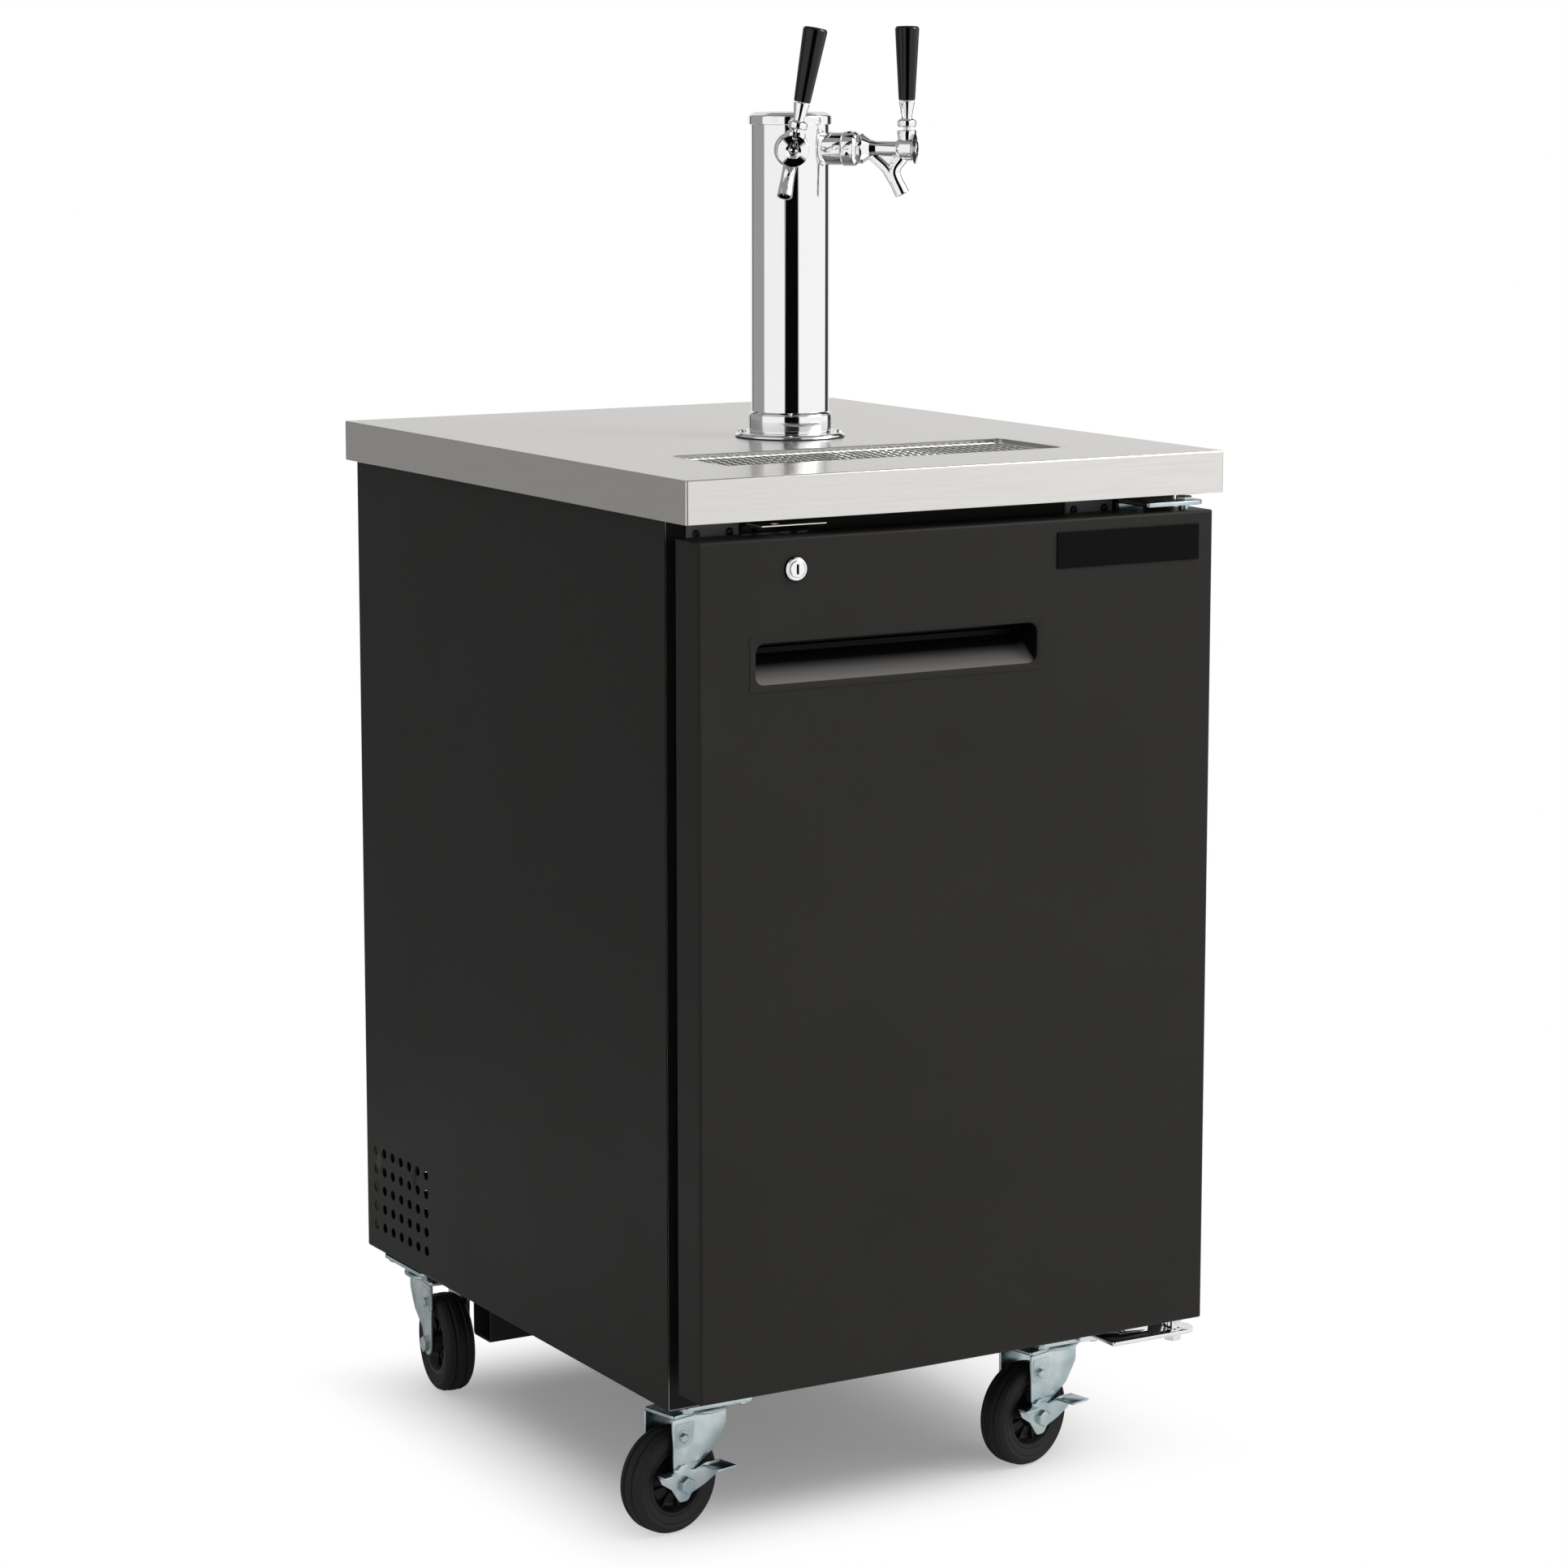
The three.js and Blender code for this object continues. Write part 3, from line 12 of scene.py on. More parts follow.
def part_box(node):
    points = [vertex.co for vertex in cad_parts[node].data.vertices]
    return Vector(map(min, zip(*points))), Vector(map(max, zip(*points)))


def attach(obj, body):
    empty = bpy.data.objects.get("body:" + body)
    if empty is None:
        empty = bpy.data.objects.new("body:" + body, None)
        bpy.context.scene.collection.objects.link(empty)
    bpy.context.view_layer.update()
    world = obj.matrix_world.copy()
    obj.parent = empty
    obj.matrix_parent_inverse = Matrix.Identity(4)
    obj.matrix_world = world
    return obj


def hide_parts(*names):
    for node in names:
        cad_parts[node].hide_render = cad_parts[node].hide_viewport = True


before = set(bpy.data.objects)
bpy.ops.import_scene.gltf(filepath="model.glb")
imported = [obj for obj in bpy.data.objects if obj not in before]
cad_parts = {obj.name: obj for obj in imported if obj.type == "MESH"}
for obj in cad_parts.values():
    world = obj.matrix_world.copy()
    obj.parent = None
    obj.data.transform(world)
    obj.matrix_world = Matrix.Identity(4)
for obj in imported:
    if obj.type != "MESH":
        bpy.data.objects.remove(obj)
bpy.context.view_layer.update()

# Camera: the photograph's viewpoint, fitted to the worktop's corners, the door and the wheels. A
# long lens stands low and to the left of the front, and its shift lifts the object in the picture.
view_yaw = math.radians(30.278)
view_pitch = math.radians(8.618)
view_distance = 4302.25
view_aside = 16.151
view_height = 734.392
picture_side = 1932
focal_pixels = 5320.145
shift_pixels = -100

view_back = Vector((-math.sin(view_yaw) * math.cos(view_pitch),
                    -math.cos(view_yaw) * math.cos(view_pitch), math.sin(view_pitch)))
view_right = Vector((math.cos(view_yaw), -math.sin(view_yaw), 0))
view_centre = Vector((0, 0, view_height)) + view_right * view_aside
lens = bpy.data.cameras.new("long lens")
lens.sensor_width = 36
lens.lens = focal_pixels / picture_side * lens.sensor_width
lens.shift_y = shift_pixels / picture_side
camera = bpy.data.objects.new("camera", lens)
camera.location = (view_centre + view_back * view_distance) / 1000
camera.rotation_euler = (-view_back).to_track_quat("-Z", "Y").to_euler()
bpy.context.scene.collection.objects.link(camera)
bpy.context.scene.camera = camera
bpy.context.scene.view_settings.view_transform = "Standard"


# Studio surroundings: white paper walls in front and to the right, grey ones behind, a grey ceiling
# and one black screen beside the camera, which chrome shows as its dark stripe. The camera sees white.
def linear(colour):
    """An sRGB hex value as the linear colour that a socket takes."""
    channels = []
    for start in (1, 3, 5):
        value = int(colour[start:start + 2], 16) / 255
        channels.append(value / 12.92 if value <= 0.04045 else ((value + 0.055) / 1.055) ** 2.4)
    return (*channels, 1)


def feed(tree, node, inputs):
    """Sets sockets, by name or number, to a value, another socket or a node's first live output."""
    for socket, value in inputs.items():
        if isinstance(value, bpy.types.Node):
            value = next(output for output in value.outputs if output.enabled)
        if isinstance(value, bpy.types.NodeSocket):
            tree.links.new(value, node.inputs[socket])
        else:
            node.inputs[socket].default_value = value
    return node


def add_node(tree, kind, inputs, **settings):
    """One node with its settings and links."""
    node = tree.nodes.new(kind)
    for setting, value in settings.items():
        setattr(node, setting, value)
    return feed(tree, node, inputs)


# Each wall reaches from the wall before it to its own bearing, in degrees from the front, positive
# to the right, with a soft seam between two walls.
studio_walls = [(-172, "#2a2a2a"), (-113, "#9a9a9a"), (-46, "#fafafa"), (-5, "#050505"),
                (97, "#ffffff"), (122, "#3c3c3c"), (180, "#e6e6e6")]
wall_seam = 3
wall_distance = 1.5
ceiling_grey = "#939391"
ceiling_edge = (0.66, 0.76)
zenith_black = "#0c0c0c"
zenith_edge = (0.955, 0.975)
ambient_light = 0.62
ambient_swing = 0.46
ambient_from = (0.75, -0.66, 0)


def wall_tones(tree, point):
    """The colour of the wall that stands behind a point or a direction, by its bearing alone."""
    bearing = add_node(tree, "ShaderNodeSeparateXYZ", {"Vector": point})
    toward = add_node(tree, "ShaderNodeMath", {0: bearing.outputs["Y"], 1: -1}, operation="MULTIPLY")
    angle = add_node(tree, "ShaderNodeMath", {0: bearing.outputs["X"], 1: toward}, operation="ARCTAN2")
    turn = add_node(tree, "ShaderNodeMapRange", {"Value": angle, "From Min": -math.pi, "From Max": math.pi})
    walls = add_node(tree, "ShaderNodeValToRGB", {"Fac": turn})
    stops = walls.color_ramp.elements
    stops[0].position = 0
    stops[0].color = linear(studio_walls[0][1])
    stops[1].position = 1
    stops[1].color = linear(studio_walls[-1][1])
    for (edge, tone), (_, next_tone) in zip(studio_walls, studio_walls[1:]):
        stops.new((edge + 180 - wall_seam / 2) / 360).color = linear(tone)
        stops.new((edge + 180 + wall_seam / 2) / 360).color = linear(next_tone)
    return walls, bearing.outputs["Z"]


world = bpy.data.worlds.new("studio surroundings")
bpy.context.scene.world = world
world.use_nodes = True
tree = world.node_tree
tree.nodes.clear()
ray = add_node(tree, "ShaderNodeTexCoord", {}).outputs["Generated"]
walls, height = wall_tones(tree, ray)
# The ceiling begins above the walls, and a narrow near-black field lies straight overhead.
overhead = add_node(tree, "ShaderNodeValToRGB", {"Fac": height})
slopes = overhead.color_ramp.elements
slopes[0].position = ceiling_edge[0]
slopes[0].color = (0, 0, 0, 0)
slopes[1].position = ceiling_edge[1]
slopes[1].color = linear(ceiling_grey)
slopes.new(zenith_edge[0]).color = linear(ceiling_grey)
slopes.new(zenith_edge[1]).color = linear(zenith_black)
room = add_node(tree, "ShaderNodeMix", {
    "Factor": overhead.outputs["Alpha"], "A": walls, "B": overhead}, data_type="RGBA")
path = add_node(tree, "ShaderNodeLightPath", {})
seen = add_node(tree, "ShaderNodeMath", {
    0: path.outputs["Is Glossy Ray"], 1: path.outputs["Is Transmission Ray"]}, operation="MAXIMUM")
facing = add_node(tree, "ShaderNodeVectorMath", {0: ray, 1: ambient_from}, operation="DOT_PRODUCT")
soft_light = add_node(tree, "ShaderNodeMapRange", {
    "Value": facing, "From Min": -1, "From Max": 1,
    "To Min": ambient_light - ambient_swing, "To Max": ambient_light + ambient_swing})
lit = add_node(tree, "ShaderNodeMix", {"Factor": seen, "A": soft_light, "B": room}, data_type="RGBA")
shown = add_node(tree, "ShaderNodeMix", {
    "Factor": path.outputs["Is Camera Ray"], "A": lit, "B": (1, 1, 1, 1)}, data_type="RGBA")
background = add_node(tree, "ShaderNodeBackground", {"Color": shown})
add_node(tree, "ShaderNodeOutputWorld", {"Surface": background})

# Key light: one large soft box high in front and to the right, which lights the door and the front
# rim more than the left side and leaves a soft shadow below the cabinet.
key_place = Vector((2500, -1900, 3000))
key_aim = Vector((0, 0, 500))
key = bpy.data.lights.new("soft box", "AREA")
key.size = 2.2
key.energy = 70
key_lamp = bpy.data.objects.new("soft box", key)
key_lamp.location = key_place / 1000
key_lamp.rotation_euler = (key_aim - key_place).to_track_quat("-Z", "Y").to_euler()
bpy.context.scene.collection.objects.link(key_lamp)

# Floor: a pale matt sheet. Below the cabinet it takes the shadow, and from there it fades into the
# white of the background, as a paper roll does. In reflections it ends at the foot of the walls.
floor_reach = 9
fade_start = 0.19
fade_end = 0.39
fade_corner = 0.12
floor_lift = 0.17
floor_seam = 0.1

floor_mesh = bpy.data.meshes.new("studio floor")
floor_mesh.from_pydata([(x * floor_reach, y * floor_reach, 0)
                        for x, y in ((-1, -1), (1, -1), (1, 1), (-1, 1))], [], [(0, 1, 2, 3)])
paper = bpy.data.materials.new("matt paper floor")
paper.use_nodes = True
tree = paper.node_tree
tree.nodes.clear()
place = add_node(tree, "ShaderNodeTexCoord", {}).outputs["Object"]
absolute = add_node(tree, "ShaderNodeVectorMath", {0: place}, operation="ABSOLUTE")
sides = add_node(tree, "ShaderNodeSeparateXYZ", {"Vector": absolute})
aside = add_node(tree, "ShaderNodeMath", {
    0: sides.outputs["X"], 1: sides.outputs["Y"], 2: fade_corner}, operation="SMOOTH_MAX")
fade = add_node(tree, "ShaderNodeMapRange", {
    "Value": aside, "From Min": fade_start, "From Max": fade_end}, interpolation_type="SMOOTHSTEP")
away = add_node(tree, "ShaderNodeVectorMath", {0: place}, operation="LENGTH")
at_walls = add_node(tree, "ShaderNodeMapRange", {
    "Value": away, "From Min": wall_distance - floor_seam,
    "From Max": wall_distance + floor_seam})
walls, _ = wall_tones(tree, place)
path = add_node(tree, "ShaderNodeLightPath", {})
lift = add_node(tree, "ShaderNodeMath", {0: path.outputs["Is Camera Ray"], 1: floor_lift},
                operation="MULTIPLY")
matt = add_node(tree, "ShaderNodeBsdfDiffuse", {"Color": linear("#f4f4f3")})
glow = add_node(tree, "ShaderNodeEmission", {"Color": (1, 1, 1, 1), "Strength": lift})
near = add_node(tree, "ShaderNodeAddShader", {0: matt, 1: glow})
white = add_node(tree, "ShaderNodeEmission", {"Color": (1, 1, 1, 1)})
fading = add_node(tree, "ShaderNodeMath", {0: fade, 1: path.outputs["Is Camera Ray"]},
                  operation="MULTIPLY")
sheet = add_node(tree, "ShaderNodeMixShader", {0: fading, 1: near, 2: white})
wall_foot = add_node(tree, "ShaderNodeEmission", {"Color": walls})
mirrored = add_node(tree, "ShaderNodeMath", {0: at_walls, 1: path.outputs["Is Glossy Ray"]},
                    operation="MULTIPLY")
floor_mix = add_node(tree, "ShaderNodeMixShader", {0: mirrored, 1: sheet, 2: wall_foot})
add_node(tree, "ShaderNodeOutputMaterial", {"Surface": floor_mix})
floor_mesh.materials.append(paper)
studio_floor = bpy.data.objects.new("studio_floor", floor_mesh)
bpy.context.scene.collection.objects.link(studio_floor)


# Cabinet shell: prepainted steel sheet folded once into two sides and a floor, with round vents
# punched low at the rear of each side. A folded rail is welded under it ahead of the rear casters.
def corners(node):
    """A node's lowest and highest corners, in millimetres."""
    low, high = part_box(node)
    return low * 1000, high * 1000


def rounded(outline, steps=5):
    """An outline of corners (x, y, radius), each with its radius drawn as an arc."""
    points = []
    for index, (x, y, radius) in enumerate(outline):
        here = Vector((x, y))
        before = (Vector(outline[index - 1][:2]) - here).normalized()
        after = (Vector(outline[(index + 1) % len(outline)][:2]) - here).normalized()
        if not radius:
            points.append(here)
            continue
        half = before.angle(after) / 2
        centre = here + (before + after).normalized() * (radius / math.sin(half))
        start = (here + before * (radius / math.tan(half)) - centre).normalized()
        end = (here + after * (radius / math.tan(half)) - centre).normalized()
        points += [centre + radius * start.slerp(end, step / steps) for step in range(steps + 1)]
    return points


def rectangle(left, right, bottom, top, radius=0, steps=5):
    """A rectangle's outline with its corners rounded."""
    return rounded([(left, bottom, radius), (right, bottom, radius), (right, top, radius),
                    (left, top, radius)], steps)


def lofted(loops, ring=False):
    """Closed loops of equal count skinned in turn, with capped ends or joined end to end."""
    bm = bmesh.new()
    rows = [[bm.verts.new(point) for point in loop] for loop in loops]
    pairs = list(zip(rows, rows[1:]))
    if ring:
        pairs.append((rows[-1], rows[0]))
    for lower, upper in pairs:
        for index in range(len(lower)):
            after = (index + 1) % len(lower)
            bm.faces.new((lower[index], lower[after], upper[after], upper[index]))
    if not ring:
        bm.faces.new(rows[0][::-1])
        bm.faces.new(rows[-1])
    return bm


def plate(outline, low, high, axis="Z"):
    """A flat outline given a thickness along one axis: in X and Y, in X and Z, or in Y and Z."""
    places = {"X": lambda u, v, w: (w, u, v), "Y": lambda u, v, w: (u, w, v), "Z": lambda u, v, w: (u, v, w)}
    return lofted([[places[axis](point[0], point[1], level) for point in outline] for level in (low, high)])


def block(low, high):
    """A square block between two corners."""
    return plate(rectangle(low[0], high[0], low[1], high[1]), low[2], high[2])


def turned(profile, sides=64):
    """A turned part about the Z axis, from pairs of radius and height."""
    bm = bmesh.new()
    rows = []
    for radius, level in profile:
        count = sides if radius else 1
        turns = [2 * math.pi * index / sides for index in range(count)]
        rows.append([bm.verts.new((radius * math.cos(t), radius * math.sin(t), level)) for t in turns])
    for lower, upper in zip(rows, rows[1:]):
        for index in range(sides):
            after = index + 1
            ends = (lower[index % len(lower)], lower[after % len(lower)],
                    upper[after % len(upper)], upper[index % len(upper)])
            faces = list(dict.fromkeys(ends))
            if len(faces) > 2:
                bm.faces.new(faces)
    return bm


def turned_round(outline, sides=64, steps=5, ring=False):
    """A turned part whose corners (radius, height, rounding) are rounded, closed on itself for a ring."""
    points = [(max(p.x, 0), p.y) for p in rounded(outline, steps)]
    return turned(points + points[:ring], sides)


def rod(radius, low, high, sides=32):
    """A round bar along Z."""
    return turned([(0, low), (radius, low), (radius, high), (0, high)], sides)


def moved(bm, matrix):
    """The same mesh in another place."""
    bm.transform(matrix)
    return bm


def joined(*parts):
    """Several meshes as one, each still a closed part of its own."""
    whole = bmesh.new()
    for part in parts:
        mesh = bpy.data.meshes.new("part")
        part.to_mesh(mesh)
        part.free()
        whole.from_mesh(mesh)
        bpy.data.meshes.remove(mesh)
    return whole


def softened(bm, width, steps=2, sharp=35):
    """Rounds every edge that is sharper than an angle."""
    bmesh.ops.remove_doubles(bm, verts=bm.verts, dist=0.005)
    bmesh.ops.recalc_face_normals(bm, faces=bm.faces)
    edges = [edge for edge in bm.edges if edge.is_manifold and edge.calc_face_angle() > math.radians(sharp)]
    bmesh.ops.bevel(bm, geom=edges, offset=width, segments=steps, profile=0.5, affect="EDGES",
                    clamp_overlap=True)
    return bm


def as_object(name, bm):
    """Mesh code as an object of the scene."""
    mesh = bpy.data.meshes.new(name)
    bm.to_mesh(mesh)
    bm.free()
    piece = bpy.data.objects.new(name, mesh)
    bpy.context.scene.collection.objects.link(piece)
    return piece


def taken_back(piece):
    """An object's evaluated mesh as mesh code, with the object and its data removed."""
    bpy.context.view_layer.update()
    evaluated = piece.evaluated_get(bpy.context.evaluated_depsgraph_get())
    mesh = bpy.data.meshes.new_from_object(evaluated)
    bm = bmesh.new()
    bm.from_mesh(mesh)
    for old in (piece.data, mesh):
        bpy.data.meshes.remove(old)
    return bm


def cut(bm, tool, operation="DIFFERENCE"):
    """One mesh cut by another."""
    bmesh.ops.recalc_face_normals(bm, faces=bm.faces)
    bmesh.ops.recalc_face_normals(tool, faces=tool.faces)
    work = as_object("work", bm)
    cutter = as_object("cutter", tool)
    modifier = work.modifiers.new("cut", "BOOLEAN")
    modifier.solver = "EXACT"
    modifier.operation = operation
    modifier.object = cutter
    result = taken_back(work)
    bpy.data.meshes.remove(cutter.data)
    return result


def finish_repeat(name, bm, material, body, sharp=40):
    """A mesh in metres as a piece that rides on a body, shaded smooth between its sharp edges."""
    bm.transform(Matrix.Scale(0.001, 4))
    piece = as_object(name, bm)
    piece.data.shade_smooth()
    piece.data.set_sharp_from_angle(angle=math.radians(sharp))
    piece.data.materials.clear()
    piece.data.materials.append(material)
    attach(piece, body)
    return piece


# A face wider than this, in square metres, is flat sheet and takes no shading from its edges.
flat_sheet_area = 0.004


def finish_piece(name, bm, material, body, slot, *nodes, sharp=32):
    """A mesh with its doubles merged and its faces turned outward, as a piece that may replace nodes."""
    bmesh.ops.remove_doubles(bm, verts=bm.verts, dist=0.005)
    bmesh.ops.recalc_face_normals(bm, faces=bm.faces)
    piece = finish_repeat(name, bm, material, body, sharp)
    for face in piece.data.polygons:
        if face.area > flat_sheet_area:
            face.use_smooth = False
    if nodes:
        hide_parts(*nodes)


def new_material(name, colour, roughness, metallic=0, **sockets):
    """A material with its uniform values on its shader's own sockets."""
    material = bpy.data.materials.new(name)
    material.use_nodes = True
    shader = material.node_tree.nodes["Principled BSDF"]
    feed(material.node_tree, shader, {
        "Base Color": linear(colour), "Roughness": roughness, "Metallic": metallic})
    feed(material.node_tree, shader, {
        socket.replace("_", " ").title().replace("Ior", "IOR"): value for socket, value in sockets.items()})
    return material, material.node_tree, shader


def patterned(name, colour, roughness, pattern, metallic=0, kind="Noise", tones=(), gloss=(), relief=(),
              **sockets):
    """A material whose tone, gloss or relief follows a pattern of (scale, detail, stretch in X, Y, Z).

    Gloss is (low, high) and may name the pattern's values between which it runs. Relief is (strength,
    distance) and may have a scale and detail of its own.
    """
    material, tree, shader = new_material(name, colour, roughness, metallic, **sockets)
    place = add_node(tree, "ShaderNodeTexCoord", {}).outputs["Object"]
    scale, detail, *stretch = pattern
    spread = place
    if stretch:
        spread = add_node(tree, "ShaderNodeMapping", {"Vector": place, "Scale": stretch})
    texture = add_node(tree, "ShaderNodeTex" + kind, {"Vector": spread, "Scale": scale, "Detail": detail})
    if tones:
        mixed = add_node(tree, "ShaderNodeMix", {
            "Factor": texture, "A": linear(tones[0]), "B": linear(tones[1])}, data_type="RGBA")
        feed(tree, shader, {"Base Color": mixed})
    if gloss:
        low, high, *span = gloss
        satin = add_node(tree, "ShaderNodeMapRange", {"Value": texture, "To Min": low, "To Max": high})
        if span:
            feed(tree, satin, {"From Min": span[0], "From Max": span[1]})
        feed(tree, shader, {"Roughness": satin})
    if relief:
        strength, distance, *finer = relief
        if finer:
            texture = add_node(tree, "ShaderNodeTexNoise", {
                "Vector": place, "Scale": finer[0], "Detail": finer[1]})
        bump = add_node(tree, "ShaderNodeBump", {
            "Height": texture, "Strength": strength, "Distance": distance})
        feed(tree, shader, {"Normal": bump})
    return material


def repeat_tree(name, inputs):
    """An empty Geometry Nodes tree with named inputs, and its input node."""
    tree = bpy.data.node_groups.new(name, "GeometryNodeTree")
    for socket, kind in inputs.items():
        tree.interface.new_socket(socket, in_out="INPUT", socket_type="NodeSocket" + kind)
    tree.interface.new_socket("Geometry", in_out="OUTPUT", socket_type="NodeSocketGeometry")
    return tree, add_node(tree, "NodeGroupInput", {}).outputs


def end_tree(tree, given, points, rotation):
    """The end of each tree: the shape stands on every point, made real and given its material."""
    shape = add_node(tree, "GeometryNodeObjectInfo", {"Object": given["Shape"]})
    stood = add_node(tree, "GeometryNodeInstanceOnPoints", {
        "Points": points, "Instance": shape.outputs["Geometry"], "Rotation": rotation})
    real = add_node(tree, "GeometryNodeRealizeInstances", {"Geometry": stood})
    dressed = add_node(tree, "GeometryNodeSetMaterial", {
        "Geometry": real, "Material": given["Material"]})
    add_node(tree, "NodeGroupOutput", {"Geometry": dressed})


# Rows of one shape in X and Y, about the origin, with every second row set aside by a share.
row_tree, given = repeat_tree("rows of a shape", {
    "Shape": "Object", "Material": "Material", "Columns": "Int", "Rows": "Int",
    "Column pitch": "Float", "Row pitch": "Float", "Stagger": "Float"})
index = add_node(row_tree, "GeometryNodeInputIndex", {})
column = add_node(row_tree, "ShaderNodeMath", {0: index, 1: given["Columns"]}, operation="FLOORED_MODULO")
level = add_node(row_tree, "ShaderNodeMath", {0: index, 1: given["Columns"]}, operation="DIVIDE")
row = add_node(row_tree, "ShaderNodeMath", {0: level}, operation="FLOOR")
odd = add_node(row_tree, "ShaderNodeMath", {0: row, 1: 2}, operation="FLOORED_MODULO")
aside = add_node(row_tree, "ShaderNodeMath", {0: odd, 1: given["Stagger"], 2: column},
                 operation="MULTIPLY_ADD")
spot = add_node(row_tree, "ShaderNodeCombineXYZ", {})
for axis, cell, total, pitch in (("X", aside, "Columns", "Column pitch"), ("Y", row, "Rows", "Row pitch")):
    half = add_node(row_tree, "ShaderNodeMath", {0: given[total], 1: 0.5, 2: -0.5},
                    operation="MULTIPLY_ADD")
    from_middle = add_node(row_tree, "ShaderNodeMath", {0: cell, 1: half}, operation="SUBTRACT")
    reach = add_node(row_tree, "ShaderNodeMath", {0: from_middle, 1: given[pitch]}, operation="MULTIPLY")
    feed(row_tree, spot, {axis: reach})
count = add_node(row_tree, "ShaderNodeMath", {0: given["Columns"], 1: given["Rows"]}, operation="MULTIPLY")
points = add_node(row_tree, "GeometryNodePoints", {"Count": count, "Position": spot})
end_tree(row_tree, given, points, (0, 0, 0))


def grown(tree, shape, values, points=()):
    """Runs a tree on an object that holds the given points and returns the result as mesh code."""
    base = bpy.data.meshes.new("points")
    base.from_pydata(list(points), [], [])
    work = bpy.data.objects.new("repeat", base)
    bpy.context.scene.collection.objects.link(work)
    part = as_object("shape", shape)
    modifier = work.modifiers.new("repeat", "NODES")
    modifier.node_group = tree
    for socket in tree.interface.items_tree:
        if socket.in_out == "INPUT" and socket.name in values:
            modifier[socket.identifier] = values[socket.name]
        if socket.name == "Shape":
            modifier[socket.identifier] = part
    result = taken_back(work)
    bpy.data.meshes.remove(part.data)
    return result


# Powder-coated steel: near black and satin, with the faint orange peel that the coat cures to. Its
# gloss is low, so that pale surroundings don't grey it.
powder_coat = patterned("black powder-coated steel", "#1b1a19", 0.42, (7, 3), tones=("#262524", "#2c2b29"),
                        gloss=(0.36, 0.44, 0.3, 0.7), relief=(0.25, 0.0002, 620, 2),
                        specular_ior_level=0.1)

shell_low, shell_high = corners("cabinet_shell")
foam_low = corners("foam_insulation")[0]
shell_sheet = 1.2
shell_bend = 3
shell_bottom = foam_low.z - shell_sheet
vent_radius = 5
vent_pitch = 20
vent_columns, vent_rows = 7, 5
vent_middle = Vector((0, shell_high.y - 22 - (vent_columns - 1) / 2 * vent_pitch,
                      shell_bottom + 28 + (vent_rows - 1) / 2 * vent_pitch))
inner_bend = shell_bend - shell_sheet
shell_section = rounded([
    (shell_low.x, shell_high.z, 0), (shell_low.x, shell_bottom, shell_bend),
    (shell_high.x, shell_bottom, shell_bend), (shell_high.x, shell_high.z, 0),
    (shell_high.x - shell_sheet, shell_high.z, 0),
    (shell_high.x - shell_sheet, foam_low.z, inner_bend),
    (shell_low.x + shell_sheet, foam_low.z, inner_bend), (shell_low.x + shell_sheet, shell_high.z, 0)])
shell = plate(shell_section, shell_low.y, shell_high.y, axis="Y")
punch = rod(vent_radius, shell_low.x - shell_bend, shell_high.x + shell_bend, 24)
lying = Matrix.Rotation(math.pi / 2, 4, "Y")
punches = grown(row_tree, punch, {
    "Material": powder_coat, "Columns": vent_rows, "Rows": vent_columns,
    "Column pitch": vent_pitch, "Row pitch": vent_pitch})
shell = cut(shell, moved(punches, Matrix.Translation(vent_middle) @ lying))
softened(shell, 0.35)
finish_piece("folded_shell", shell, powder_coat, "cabinet", "black_paint", "cabinet_shell")

rail_front, rail_back = 142, 182
rail_half = 244
rail_sheet = 2.5
rail_section = rounded([
    (rail_front, shell_bottom, 0), (rail_front, shell_low.z, 4), (rail_back, shell_low.z, 4),
    (rail_back, shell_bottom, 0), (rail_back - rail_sheet, shell_bottom, 0),
    (rail_back - rail_sheet, shell_low.z + rail_sheet, 1.5),
    (rail_front + rail_sheet, shell_low.z + rail_sheet, 1.5), (rail_front + rail_sheet, shell_bottom, 0)])
cross_rail = plate(rail_section, -rail_half, rail_half, axis="X")
finish_piece("cross_rail", softened(cross_rail, 0.4), powder_coat, "cabinet", "black_paint")


# Rear panel: galvanised sheet that closes the back, with two columns of pressed louvres beside the
# machine room and pan-head screws along its edges. It lies flush between the two sides.
spot_tree, given = repeat_tree("a shape on every point", {
    "Geometry": "Geometry", "Shape": "Object", "Material": "Material"})
heading = add_node(spot_tree, "FunctionNodeRandomValue", {"Max": 2 * math.pi, "Seed": 4}, data_type="FLOAT")
facing = add_node(spot_tree, "ShaderNodeCombineXYZ", {"Z": heading})
standing = add_node(spot_tree, "FunctionNodeEulerToRotation", {"Euler": facing})
end_tree(spot_tree, given, given["Geometry"], standing)


def screw_head(radius, height, socket, sides=16):
    """A domed head on the origin with a hollow for the driver."""
    return turned([(0, height * 0.45), (socket * 0.8, height * 0.45), (socket, height),
                   (radius * 0.62, height * 0.94), (radius * 0.9, height * 0.6), (radius, height * 0.15),
                   (radius, 0), (0, 0)], sides)


# Galvanised steel: grey zinc with crystals a few millimetres wide, each a little lighter or darker.
galvanised = patterned("galvanised steel sheet", "#9ea3a6", 0.42, (130, 0), metallic=1, kind="Voronoi",
                       tones=("#8d9295", "#abb0b3"), gloss=(0.34, 0.52))

